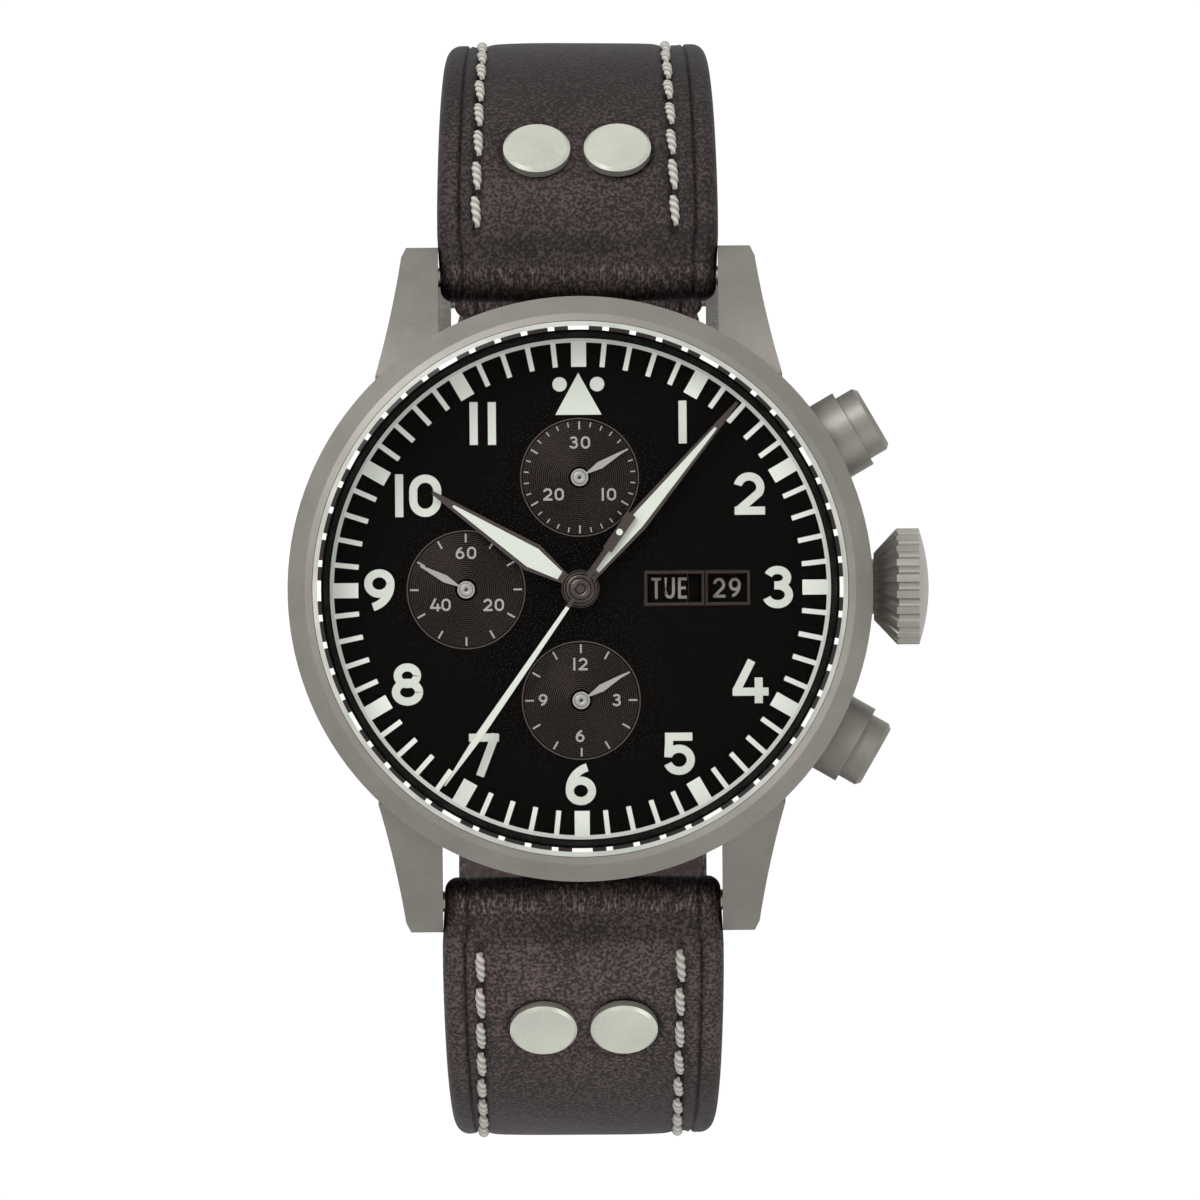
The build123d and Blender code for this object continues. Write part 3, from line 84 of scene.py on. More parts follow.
# Hands
HOUR_ANGLE, MINUTE_ANGLE, CHRONO_ANGLE = 303.5, 40.5, 215
# Each filling as (distance from the axis, half width) steps
HOUR_BLADE = ((1.75, 0.32), (4.1, 0.76), (10.9, 0.09))
MINUTE_BLADE = ((1.75, 0.26), (6.3, 0.53), (15.1, 0.1))
CHRONO_BLADE = ((1.6, 0.14), (13.0, 0.26), (17.15, 0.05))
CHRONO_SPOT_Y, CHRONO_SPOT_R = -4.95, 0.24
FILLING_RISE = 0.012
HUB_R, HUB_RISE = (1.3, 1.1), 0.1
hour_z, minute_z = (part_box(name)[1][2] / MM for name in ("hour_hand", "minute_hand"))
chrono_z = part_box("chrono_seconds_hand")[0][2] / MM + 0.18
# Crystal
BEVEL_W, BEVEL_RISE, SHOULDER_H = 0.62, 0.3, 1.1
BEVEL_MARKS_R = 18.86
# Strap
BAR_Y, BAR_Z = 22.4, 2.35
ARC_Y, ARC_Z, ARC_R = 13.4, -19.2, 25.9
BUCKLE_R, TAIL_R = 21.0, 27.8
START_ANGLE, BUCKLE_END, TAIL_END = 25.0, 168.0, 180
OUTER_START, INNER_START = 28.0, 27.0
LUG_T, THIN_T = 4.4, 2.3
LUG_HALF, BEYOND_LUGS, ARC_TAPER, TAIL_W = 9.9, 0.2, 0.88, 18.0
ARC_HALF = LUG_HALF + BEYOND_LUGS - ARC_TAPER
ROLL_R, BUCKLE_ROLL_R = 1.75, 1.35
TAIL_FLAT, TIP_L = 36.5, 8.0
EDGE_R, CREASE_IN = 0.95, 1.6
STITCH_PITCH, STITCH_L, STITCH_R, FIRST_STITCH = 3.25, 2.6, 0.32, 3.3
# Each seam by (half, side): its place across the strap near the case and far from it
SEAMS = {(1, -1): (-7.28, -6.78), (1, 1): (6.95, 6.38), (-1, -1): (-7.38, -7.3), (-1, 1): (6.98, 6.7)}
RIVET_X, RIVET_ANGLE, DISH_R = 2.9, 44.2, 2.3
KEEPER_T, KEEPER_SIDE_T, KEEPER_L, KEEPER_CORNER = 1.0, 0.62, 4.6, 0.7
# View
CAMERA_TILT = 0.45


def evenly(first, last, count):
    """Numbers from the first to the last, evenly spaced."""
    return [first + (last - first) * i / (count - 1) for i in range(count)]


def round_turn(count):
    """Angles in radians, evenly round a full turn."""
    return [2 * pi * i / count for i in range(count)]


def clamp(value):
    return min(max(value, 0), 1)


def smooth_step(share):
    """Eases in and out between 0 and 1."""
    return share * share * (3 - 2 * share)


def hump(distance, width, power=2):
    """1 at no distance, fading to nothing over a few widths."""
    return math.exp(-((distance / width) ** power))


def tone(colour, factor):
    return tuple(min(c * factor, 1.0) for c in colour)


def shades(colour, *steps):
    """Ramp stops of one colour from (place, factor) steps."""
    return [(at, tone(colour, factor)) for at, factor in steps]


class Finish:
    """A node material in the making."""

    def __init__(self, name, shader="BsdfPrincipled"):
        self.material = bpy.data.materials.new(name)
        self.material.use_nodes = True
        self.nodes = self.material.node_tree.nodes
        self.links = self.material.node_tree.links
        self.nodes.clear()
        out = self.add("OutputMaterial")
        self.shader = self.add(shader)
        self.links.new(self.shader.outputs[0], out.inputs[0])

    def fill(self, node, inputs):
        """Inputs go by name or number. A socket is linked, a plain value is set."""
        for key, value in inputs.items():
            if isinstance(value, bpy.types.NodeSocket):
                self.links.new(value, node.inputs[key])
            else:
                node.inputs[key].default_value = value

    def add(self, kind, inputs=None, operation=None):
        node = self.nodes.new("ShaderNode" + kind)
        if operation:
            node.operation = operation
        self.fill(node, inputs or {})
        return node

    def done(self, inputs):
        """Fills the shader and gives the finished material."""
        self.fill(self.shader, inputs)
        return self.material

    def maths(self, operation, *values):
        return self.add("Math", dict(enumerate(values)), operation).outputs[0]

    def vectors(self, operation, inputs):
        return self.add("VectorMath", inputs, operation).outputs

    def coords(self):
        return self.add("TexCoord").outputs["Object"]

    def place(self, scale=(1, 1, 1)):
        """Object coordinates in millimetres, stretched by scale."""
        inputs = {"Vector": self.coords(), "Scale": [s / MM for s in scale]}
        return self.add("Mapping", inputs).outputs[0]

    def noise(self, vector, scale, detail=4.0, rough=0.6):
        inputs = {"Vector": vector, "Scale": scale, "Detail": detail, "Roughness": rough}
        return self.add("TexNoise", inputs).outputs["Fac"]

    def ramp(self, value, stops):
        node = self.add("ValToRGB", {0: value})
        band = node.color_ramp
        while len(band.elements) < len(stops):
            band.elements.new(0.5)
        for element, (at, colour) in zip(band.elements, stops):
            element.position = at
            element.color = (*colour, 1)
        return node.outputs[0]

    def spread(self, value, low, high):
        """Takes a value between 0 and 1 to one between low and high."""
        return self.add("MapRange", {"Value": value, "To Min": low, "To Max": high}).outputs[0]

    def between(self, value, low, high, smooth=False):
        """From 0 at low to 1 at high, and the same beyond them."""
        node = self.add("MapRange")
        if smooth:
            node.interpolation_type = "SMOOTHSTEP"
        self.fill(node, {"Value": value, "From Min": low, "From Max": high})
        return node.outputs[0]

    def bump(self, height, strength, depth, under=None):
        """Relief by height, on top of another bump where one is given."""
        inputs = {"Height": height, "Strength": strength, "Distance": depth * MM}
        if under:
            inputs["Normal"] = under
        normal = self.add("Bump", inputs).outputs[0]
        self.fill(self.shader, {"Normal": normal})
        return normal

    def scaled(self, colours, factor):
        return self.vectors("SCALE", {0: colours, "Scale": factor})[0]

    def with_painted_light(self, colours):
        """Colours times the painted light and shade that the mesh carries at each vertex."""
        carried = self.add("Attribute")
        carried.attribute_name = "painted_light"
        return self.scaled(colours, carried.outputs["Fac"])

    def outside(self, limit, soft=0.02):
        """0 inside a radius about the hands' axis and 1 outside it, and the place seen from above."""
        flat = self.vectors("MULTIPLY", {0: self.coords(), 1: (1 / MM, 1 / MM, 0)})[0]
        reach = self.vectors("LENGTH", {0: flat})["Value"]
        return self.between(reach, limit - soft, limit + soft), flat


def blasted_metal(name, colour, rough=(0.42, 0.58), grain=5.0, depth=0.012, painted_highlight_inside=0):
    """Bead-blasted metal: a fine even grain with a faint cloud of tone, and a painted highlight inside a
    radius, for the lit chamfer.
    """
    look = Finish(name)
    where = look.place()
    fine = look.noise(where, grain, 2.0, 0.7)
    cloud = look.noise(where, 0.25, 3.0)
    mixed = look.maths("MULTIPLY_ADD", fine, 0.45, look.maths("MULTIPLY", cloud, 0.55))
    colours = look.ramp(mixed, shades(colour, (0.32, 0.86), (0.5, 1), (0.7, 1.12)))
    # Painted highlight: the colour made lighter inside the radius, where the bezel's chamfer catches the
    # light.
    if painted_highlight_inside:
        outside, _ = look.outside(painted_highlight_inside)
        colours = look.scaled(colours, look.spread(outside, 1.15, 1.0))
    look.bump(fine, 0.5, depth)
    return look.done({"Base Color": colours, "Roughness": look.spread(fine, *rough), "Metallic": 0.85})


def brushed_metal(name, colour, rough=(0.18, 0.36)):
    """Metal with fine lines along one way and a few darker hairlines."""
    look = Finish(name)
    lines = look.noise(look.place((0.15, 6, 6)), 1.6, 5.0, 0.65)
    cloud = look.noise(look.place(), 0.4)
    colours = look.ramp(lines, shades(colour, (0.3, 0.82), (0.55, 1), (0.8, 1.15)))
    look.bump(lines, 0.35, 0.006)
    return look.done({"Base Color": colours, "Roughness": look.spread(cloud, *rough), "Metallic": 1.0})


def striped_metal(name, colour, pitch=1.5):
    """Plates finished with broad parallel waves and fine grain between them."""
    look = Finish(name)
    wave = look.add("TexWave")
    wave.wave_profile = "SAW"
    look.fill(wave, {"Vector": look.place(), "Scale": 1 / pitch / 2, "Distortion": 0.15})
    stripes = wave.outputs["Fac"]
    grain = look.noise(look.place((0.4, 9, 9)), 2.0, 4.0)
    colours = look.ramp(stripes, shades(colour, (0.0, 0.72), (0.5, 1), (1.0, 1.2)))
    look.bump(stripes, 0.5, 0.03, look.bump(grain, 0.2, 0.004))
    return look.done({"Base Color": colours, "Roughness": look.spread(grain, 0.2, 0.34), "Metallic": 1.0})


def grained_plate(name, colour):
    """Plates finished with small overlapping circular spots."""
    look = Finish(name)
    inputs = {"Vector": look.place(), "Scale": 1.1, "Randomness": 0.15}
    spots = look.add("TexVoronoi", inputs).outputs["Distance"]
    rings = look.maths("SINE", look.maths("MULTIPLY", spots, 42.0))
    colours = look.ramp(spots, shades(colour, (0.0, 1.15), (0.6, 1), (1.0, 0.7)))
    look.bump(rings, 0.25, 0.006)
    return look.done({"Base Color": colours, "Roughness": look.spread(spots, 0.22, 0.4), "Metallic": 1.0})


def paint(name, colour, rough=0.6, grain=9.0, depth=0.004, coat=0.0, metallic=0.0, vary=0.12, specular=0.5):
    """Printed or painted colour with a little tooth."""
    look = Finish(name)
    fine = look.noise(look.place(), grain, 3.0)
    look.bump(fine, 0.4, depth)
    return look.done({
        "Base Color": look.ramp(fine, shades(colour, (0.3, 1 - vary), (0.7, 1 + vary))),
        "Roughness": look.spread(fine, rough * 0.85, rough * 1.15),
        "Metallic": metallic,
        "Coat Weight": coat,
        "Specular IOR Level": specular,
    })


def leather(name, colour, rough=(0.5, 0.66), grain=4.2, deep=0.56, pale=2.1, wrinkled_and_painted=True):
    """Dark calf: pebbled grain painted lighter on its raised spots and darker in its hollows as painted
    light and shade, pores, and fine wrinkles where it is bent, with a painted highlight on the wrinkle tops
    and the painted light and shade that the mesh carries.
    """
    look = Finish(name)
    where = look.place()
    pebbles = look.noise(where, grain, 1.0, 0.5)
    pores = look.noise(where, grain * 3.2, 2.0, 0.6)
    cloud = look.noise(where, 0.22, 3.0)
    height = look.maths("MULTIPLY_ADD", pores, 0.3, pebbles)
    # The grain's colour follows its bump height: raised pebbles painted lighter and hollows darker, as
    # painted light and shade, over a cloud of real tone.
    tint = look.maths("MULTIPLY_ADD", cloud, 0.3, pebbles)
    colours = look.ramp(tint, shades(colour, (0.54, deep), (0.65, 1), (0.79, pale)))
    under = look.bump(height, 0.75, 0.09)
    if wrinkled_and_painted:
        along = look.add("SeparateXYZ", {0: where}).outputs[1]
        near_case = look.between(look.maths("ABSOLUTE", along), 24.3, 23.0, smooth=True)
        streaks = look.noise(look.place((1.0, 0.26, 0.26)), 6.0, 2.0, 0.6)
        wrinkles = look.maths("MULTIPLY", streaks, near_case)
        look.bump(wrinkles, 0.9, 0.16, under)
        # Painted highlight: the wrinkle tops near the case get a much lighter colour.
        painted_gleam = look.ramp(wrinkles, shades(colour, (0.52, 0), (0.66, 3.2)))
        colours = look.with_painted_light(look.vectors("ADD", {0: colours, 1: painted_gleam})[0])
    return look.done({
        "Base Color": colours, "Roughness": look.spread(cloud, *rough), "Specular IOR Level": 0.12,
    })


def crystal_edge(name):
    """The bevel of the crystal: a pale band of painted reflection, and inside it a painted reflection of the
    minute marks.
    """
    look = Finish(name)
    outside, flat = look.outside(BEVEL_MARKS_R)
    x, y, _ = look.add("SeparateXYZ", {0: flat}).outputs
    angle = look.maths("ARCTAN2", x, y)

    def marks(count, half_share):
        """1 on each of a number of even marks round the ring."""
        turns = look.maths("MULTIPLY_ADD", angle, count / (2 * pi), count + 0.5)
        return look.maths("COMPARE", look.maths("FRACT", turns), 0.5, half_share)

    either = look.maths("MAXIMUM", marks(60, 0.12), marks(12, 0.075))
    # Painted reflection of the minute marks in the bevel: pale dashes on dark.
    painted_reflection = look.ramp(either, [(0.0, (0.024, 0.0175, 0.0165)), (1.0, (0.78, 0.80, 0.74))])
    cloud = look.noise(look.place(), 0.35, 2.0)
    # Painted reflection on the polished bevel: a pale grey band.
    band = look.ramp(cloud, [(0.35, (0.37, 0.38, 0.345)), (0.65, (0.46, 0.47, 0.43))])
    both = look.add("Mix")
    both.data_type = "RGBA"
    look.fill(both, {"Factor": outside, 6: painted_reflection, 7: band})
    return look.done({
        "Base Color": both.outputs[2], "Roughness": look.spread(cloud, 0.2, 0.3), "Specular IOR Level": 0.12,
    })


def clear_crystal(name):
    """Coated crystal, which mirrors nothing."""
    look = Finish(name)
    smear = look.noise(look.place(), 0.3, 2.0)
    return look.done({
        "Base Color": (0.02, 0.02, 0.02, 1), "Roughness": look.spread(smear, 0.02, 0.04),
        "IOR": 1.6, "Specular IOR Level": 0.0, "Alpha": 0.03,
    })


def thread_material(name, colour):
    """Waxed thread: painted shade between its twisted strands, which the mesh carries, with fine fibres."""
    look = Finish(name)
    fibres = look.noise(look.place(), 9.0, 2.0)
    colours = look.with_painted_light(look.ramp(fibres, shades(colour, (0.3, 0.85), (0.7, 1.1))))
    look.bump(fibres, 0.5, 0.02)
    return look.done({"Base Color": colours, "Roughness": 0.7})


STEEL = blasted_metal("blasted_steel", (0.215, 0.203, 0.182))
# The bezel's inner chamfer gets a painted highlight.
BEZEL_STEEL = blasted_metal("bezel_steel", (0.23, 0.218, 0.195), grain=5.5, painted_highlight_inside=19.77)
CROWN_STEEL = blasted_metal("crown_steel", (0.30, 0.287, 0.26), (0.34, 0.48), grain=6.0, depth=0.008)
SATIN = brushed_metal("satin_steel", (0.42, 0.41, 0.38))
RIVET = blasted_metal("rivet_steel", (0.54, 0.55, 0.48), (0.3, 0.42), grain=7.0, depth=0.004)
SCREW = brushed_metal("screw_steel", (0.45, 0.46, 0.48), (0.12, 0.22))
BLUED = brushed_metal("blued_steel", (0.03, 0.06, 0.24), (0.12, 0.22))
BRIDGE = striped_metal("bridge_metal", (0.48, 0.465, 0.43))
ROTOR = striped_metal("rotor_metal", (0.46, 0.445, 0.41), pitch=1.9)
PLATE = grained_plate("plate_metal", (0.46, 0.435, 0.38))
BRASS = brushed_metal("wheel_brass", (0.6, 0.41, 0.16), (0.2, 0.32))
WHEEL_STEEL = brushed_metal("wheel_steel", (0.4, 0.4, 0.42), (0.14, 0.26))
RUBBER = paint("seal_rubber", (0.02, 0.02, 0.02), 0.7)
FLANGE = paint("flange_black", (0.003, 0.003, 0.003), specular=0.02)
DIAL = paint("dial_black", (0.0022, 0.0019, 0.0015), grain=12.0, specular=0.02)
SUBDIAL = paint("subdial_black", (0.0095, 0.0075, 0.007), 0.34, metallic=1.0)
# A lighter copy of the counter colour: painted sheen on every other groove flank.
SUBDIAL_PAINTED_SHEEN = paint("subdial_painted_sheen", (0.040, 0.0315, 0.029), 0.34, metallic=1.0)
SUBDIAL_EDGE = paint("subdial_edge", (0.10, 0.074, 0.066), 0.3, metallic=1.0)
WINDOW_METAL = paint("window_metal", (0.066, 0.047, 0.043), 0.34, metallic=1.0)
RING_PRINT = paint("ring_print", (0.66, 0.675, 0.62), vary=0.04)
LUME = paint("lume", (0.585, 0.615, 0.545), grain=8.0, depth=0.01, vary=0.05)
# A lighter copy of the lume for the minute track: painted light against the shade of the bezel and rim.
TRACK_LUME_PAINTED_LIGHT = paint("track_lume_painted_light", (0.80, 0.835, 0.75), grain=8.0, depth=0.01, vary=0.05)
FINE_PRINT = paint("fine_print", (0.31, 0.303, 0.28), vary=0.05)
DAY_PRINT = paint("day_print", (0.25, 0.228, 0.198), vary=0.05)
HAND_DARK = brushed_metal("hand_dark", (0.088, 0.071, 0.064), (0.3, 0.42))
HAND_PALE = paint("hand_pale", (0.34, 0.335, 0.31), 0.45, metallic=0.4, vary=0.05)
LEATHER = leather("strap_leather", (0.0265, 0.0195, 0.0188))
LINING = leather("lining_leather", (0.048, 0.035, 0.035), (0.6, 0.8), 2.2, deep=0.85, pale=1.2, wrinkled_and_painted=False)
THREAD = thread_material("waxed_thread", (0.47, 0.455, 0.405))
RUBY = paint("jewel_ruby", (0.45, 0.01, 0.06), 0.12, coat=1.0)
CRYSTAL = clear_crystal("clear_sapphire")
CRYSTAL_EDGE = crystal_edge("crystal_edge")

CAD_FINISH = {
    STEEL: "mid_case pusher_top pusher_bottom pusher_tubes",
    BEZEL_STEEL: "bezel",
    CROWN_STEEL: "crown crown_tube",
    SATIN: "case_back spring_bars buckle_frame buckle_bar buckle_tongue",
    SCREW: "case_back_screws winding_stem sliding_pinion",
    BLUED: "movement_screws",
    RIVET: "rivets_buckle_half rivets_tail_half",
    BRIDGE: "train_bridge balance_cock rotor_bridge",
    ROTOR: "rotor",
    PLATE: "main_plate movement_ring",
    BRASS: (
        "centre_wheel third_wheel fourth_wheel barrel chrono_wheel minute_counter_wheel "
        "hour_counter_wheel minute_wheel hour_wheel balance_wheel"
    ),
    WHEEL_STEEL: "ratchet_wheel crown_wheel escape_wheel pallet_fork cannon_pinion hairspring rotor_bearing",
    RUBBER: "crystal_gasket back_gasket crown_gasket",
    FLANGE: "flange_ring",
    DIAL: "dial day_disc date_ring",
    HAND_DARK: "hour_hand minute_hand chrono_seconds_hand",
    HAND_PALE: "small_seconds_hand minute_counter_hand hour_counter_hand",
    CRYSTAL: "crystal back_crystal",
    LEATHER: "strap_buckle_half strap_tail_half fixed_keeper free_keeper",
}
for finish, names in CAD_FINISH.items():
    for name in names.split():
        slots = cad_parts[name].data.materials
        slots.clear()
        slots.append(finish)


# Mesh helpers
def add_mesh(name, verts, faces, material, body, smooth=False):
    mesh = bpy.data.meshes.new(name)
    mesh.from_pydata([(x * MM, y * MM, z * MM) for x, y, z in verts], [], faces)
    mesh.materials.append(material)
    work = bmesh.new()
    work.from_mesh(mesh)
    bmesh.ops.recalc_face_normals(work, faces=work.faces)
    for face in work.faces:
        face.smooth = smooth
    work.to_mesh(mesh)
    work.free()
    piece = bpy.data.objects.new(name, mesh)
    bpy.context.scene.collection.objects.link(piece)
    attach(piece, body)
    return piece


def set_painted_light(piece, painted_tones):
    """The painted light and shade at each vertex: how much lighter or darker the material is drawn there."""
    piece.data.attributes.new("painted_light", "FLOAT", "POINT").data.foreach_set("value", painted_tones)


def quads(a, b, count, closed=True):
    """Quads between two rows of points, the first starting at a and the second at b."""
    nexts = [(k, (k + 1) % count) for k in range(count if closed else count - 1)]
    return [[a + k, a + m, b + m, b + k] for k, m in nexts]


def circle(centre, radius, count):
    x, y = centre
    return [(x + radius * cos(a), y + radius * sin(a)) for a in round_turn(count)]


def lathe(name, profile, steps, material, body, centre=(0, 0), smooth=True, close=True):
    """A turned piece from (radius, height) points."""
    verts, faces, count = [], [], len(profile)
    for a in round_turn(steps):
        verts += [(centre[0] + r * cos(a), centre[1] + r * sin(a), z) for r, z in profile]
    for i in range(steps):
        j = (i + 1) % steps
        for k in range(count if close else count - 1):
            m = (k + 1) % count
            faces.append([i * count + k, j * count + k, j * count + m, i * count + m])
    return add_mesh(name, verts, faces, material, body, smooth)


class Shapes:
    """Collects flat shapes of one colour as thin prisms in one mesh."""

    def __init__(self, low, thick):
        self.verts, self.faces, self.low, self.thick, self.made = [], [], low, thick, 0

    def heights(self):
        """Low and high faces, a hair above the last shape's, so no two lie in one plane."""
        self.made += 1
        return self.low, self.low + self.thick + self.made % 7 * 0.0008

    def prism(self, outline):
        """A filled convex outline."""
        start, count = len(self.verts), len(outline)
        for z in self.heights():
            self.verts += [(x, y, z) for x, y in outline]
        self.faces.append([start + i for i in reversed(range(count))])
        self.faces.append([start + count + i for i in range(count)])
        self.faces += quads(start, start + count, count)

    def ribbon(self, line, width, closed=False):
        """A stroke of even width along a line of points."""
        count = len(line)
        left, right = [], []
        for i, (x, y) in enumerate(line):
            before = line[i - 1] if i or closed else line[i]
            after = line[(i + 1) % count] if i < count - 1 or closed else line[i]
            a = Vector((x - before[0], y - before[1]))
            b = Vector((after[0] - x, after[1] - y))
            a = a.normalized() if a.length else b.normalized()
            b = b.normalized() if b.length else a
            along = (a + b).normalized()
            reach = width / 2 / max(along.dot(a), 0.4)
            left.append((x - along.y * reach, y + along.x * reach))
            right.append((x + along.y * reach, y - along.x * reach))
        start = len(self.verts)
        for z in self.heights():
            for side_line in (left, right):
                self.verts += [(x, y, z) for x, y in side_line]
        low_l, low_r, high_l, high_r = (start + count * k for k in range(4))
        for i in range(count if closed else count - 1):
            j = (i + 1) % count
            self.faces.append([high_l + i, high_r + i, high_r + j, high_l + j])
            self.faces.append([low_l + j, low_r + j, low_r + i, low_l + i])
            self.faces.append([low_l + i, high_l + i, high_l + j, low_l + j])
            self.faces.append([low_r + j, high_r + j, high_r + i, low_r + i])
        if not closed:
            for i in (0, count - 1):
                self.faces.append([low_l + i, high_l + i, high_r + i, low_r + i])

    def annulus(self, inner, outer, steps=180, centre=(0, 0)):
        self.ribbon(circle(centre, (inner + outer) / 2, steps), outer - inner, True)

    def piece(self, name, material, body="case", slot_name="dial_black"):
        return add_mesh(name, self.verts, self.faces, material, body)


def arc(cx, cy, rx, ry, start, end, steps=18):
    """Points on an ellipse, from one angle to another in degrees."""
    angles = [radians(degrees) for degrees in evenly(start, end, steps + 1)]
    return [(cx + rx * cos(a), cy + ry * sin(a)) for a in angles]


# Characters in a box one unit high, as the centre lines of closed loops and of open strokes
LOOPS = {
    "0": [arc(0.38, 0.61, 0.28, 0.29, 0, 180) + arc(0.38, 0.39, 0.28, 0.29, 180, 360)],
    "6": [arc(0.38, 0.34, 0.26, 0.24, 0, 360, 30)],
    "8": [arc(0.38, 0.705, 0.225, 0.195, 0, 360, 28), arc(0.38, 0.32, 0.27, 0.22, 0, 360, 30)],
    "9": [arc(0.38, 0.66, 0.26, 0.24, 0, 360, 30)],
}
STROKES = {
    "1": [[(0.38, 0.0), (0.38, 1.0)]],
    "2": [arc(0.37, 0.645, 0.265, 0.255, 168, -30, 24) + [(0.13, 0.12)], [(0.03, 0.1), (0.74, 0.1)]],
    "3": [arc(0.345, 0.72, 0.225, 0.18, 160, -90, 24) + [(0.27, 0.54)],
          [(0.27, 0.54)] + arc(0.345, 0.32, 0.265, 0.22, 90, -162, 26)],
    "4": [[(0.47, 1.0), (0.10, 0.27)], [(0.02, 0.27), (0.86, 0.27)], [(0.63, 0.0), (0.63, 0.60)]],
    "5": [[(0.68, 0.9), (0.04, 0.9)], [(0.145, 0.95), (0.115, 0.42)],
          arc(0.365, 0.36, 0.275, 0.26, 152, -160, 28)],
    "6": [arc(0.69, 0.36, 0.57, 0.55, 180, 106, 16)],
    "7": [[(0.02, 0.9), (0.72, 0.9)], [(0.645, 0.98), (0.27, 0.0)]],
    "9": [arc(0.07, 0.64, 0.57, 0.55, 0, -74, 16)],
    "T": [[(0.06, 0.93), (0.70, 0.93)], [(0.38, 0.0), (0.38, 0.93)]],
    "U": [[(0.12, 1.0), (0.12, 0.32)] + arc(0.38, 0.32, 0.26, 0.25, 180, 360) + [(0.64, 1.0)]],
    "E": [[(0.14, 0.0), (0.14, 1.0)], [(0.14, 0.93), (0.64, 0.93)], [(0.14, 0.07), (0.64, 0.07)],
          [(0.14, 0.51), (0.58, 0.51)]],
}
ADVANCE, BAR_ADVANCE, GLYPH_MIDDLE = 0.9, 0.46, 0.38


def write(shapes, text, centre, height, stroke, narrow=1.0):
    """Text centred on a point, in one row."""
    steps = [(BAR_ADVANCE if char == "1" else ADVANCE) * narrow for char in text]
    at = centre[0] - sum(steps) * height / 2
    for char, step in zip(text, steps):
        middle = at + step * height / 2
        for lines, closed in ((LOOPS.get(char, []), True), (STROKES.get(char, []), False)):
            for line in lines:
                xs = [middle + (x - GLYPH_MIDDLE) * height * narrow for x, _ in line]
                ys = [centre[1] + (y - 0.5) * height for _, y in line]
                shapes.ribbon(list(zip(xs, ys)), stroke, closed)
        at += step * height


def tick(shapes, inner, outer, width, degrees, centre=(0, 0)):
    """A straight radial mark, at so many degrees past twelve."""
    angle = radians(degrees)
    ends = [(r * sin(angle) + centre[0], r * cos(angle) + centre[1]) for r in (inner, outer)]
    shapes.ribbon(ends, width)


# Dial print: places read off the photograph, in millimetres from the hands' axis
NUMERALS = (
    ("1", (7.33, 11.97)), ("2", (12.13, 6.84)), ("3", (14.25, 0.13)), ("4", (12.02, -6.67)),
    ("5", (7.12, -11.83)), ("6", (0.03, -14.0)), ("7", (-6.88, -11.9)), ("8", (-12.41, -6.86)),
    ("9", (-14.42, -0.11)),
)
ELEVEN_AND_TEN_BARS = ((-6.35, 11.86), (-7.66, 11.86), (-13.0, 6.68))
TEN_ZERO = (-11.13, 6.68)
TRIANGLE = ((-0.04, 15.5), (-1.7, 12.49), (1.62, 12.49))
TRIANGLE_DOTS = ((-1.38, 14.68), (1.31, 14.68))
COUNTER_NUMBERS = (
    ("30", (-0.05, 10.5)), ("20", (-1.93, 6.78)), ("10", (2.02, 6.78)),
    ("60", (-8.22, 2.58)), ("40", (-10.05, -1.15)), ("20", (-6.23, -1.15)),
    ("12", (-0.02, -5.4)), ("9", (-2.68, -7.98)), ("3", (2.62, -7.98)), ("6", (-0.02, -10.55)),
)


def upright(spot):
    """A place read off the photograph, turned back by the camera's small tilt."""
    tilt = radians(CAMERA_TILT)
    x, y = spot
    return x * cos(tilt) + y * sin(tilt), y * cos(tilt) - x * sin(tilt)


def minute_track():
    track = Shapes(PRINT_Z, PRINT_T)
    for minute in range(60):
        inner, width = (MARK_FROM, MARK_W) if minute % 5 else (BLOCK_FROM, BLOCK_W)
        tick(track, inner, MINUTE_RING[0] + 0.1, width, minute * 6)
    # The track's lume is painted lighter than the numerals'.
    track.piece("minute_track", TRACK_LUME_PAINTED_LIGHT)


def hour_numerals():
    white = Shapes(PRINT_Z, PRINT_T)
    for text, centre in NUMERALS:
        write(white, text, upright(centre), NUMERAL_H, NUMERAL_STROKE)
    for spot in ELEVEN_AND_TEN_BARS:
        x, y = upright(spot)
        white.ribbon([(x, y - NUMERAL_H / 2), (x, y + NUMERAL_H / 2)], NUMERAL_STROKE)
    write(white, "0", upright(TEN_ZERO), NUMERAL_H, NUMERAL_STROKE)
    white.prism(TRIANGLE)
    for spot in TRIANGLE_DOTS:
        white.prism(circle(spot, DOT_R, 28))
    white.piece("dial_numerals", LUME)


def minute_ring():
    rim = Shapes(PRINT_Z, PRINT_T / 2)
    rim.annulus(*MINUTE_RING)
    rim.piece("minute_ring", RING_PRINT)


def counter_print():
    """Numbers, marks and edges of the three counters."""
    small = Shapes(PRINT_Z - SUBDIAL_DEPTH + 0.02, PRINT_T)
    top, left, low = SUBDIALS
    for text, spot in COUNTER_NUMBERS:
        write(small, text, upright(spot), COUNTER_H, COUNTER_STROKE)
    for i in range(30):
        inner, width = (3.66, 0.09) if i % 5 else (3.45, 0.12)
        tick(small, inner, COUNTER_MARKS_TO, width, i * 12, top)
    for centre in (left, low):
        for i in range(12):
            tick(small, 3.4, COUNTER_MARKS_TO, 0.13, i * 30, centre)
    small.piece("subdial_print", FINE_PRINT)
    edge = Shapes(PRINT_Z, 0.03)
    for centre in SUBDIALS:
        edge.annulus(*COUNTER_RIM, 120, centre)
    edge.piece("subdial_edges", SUBDIAL_EDGE)


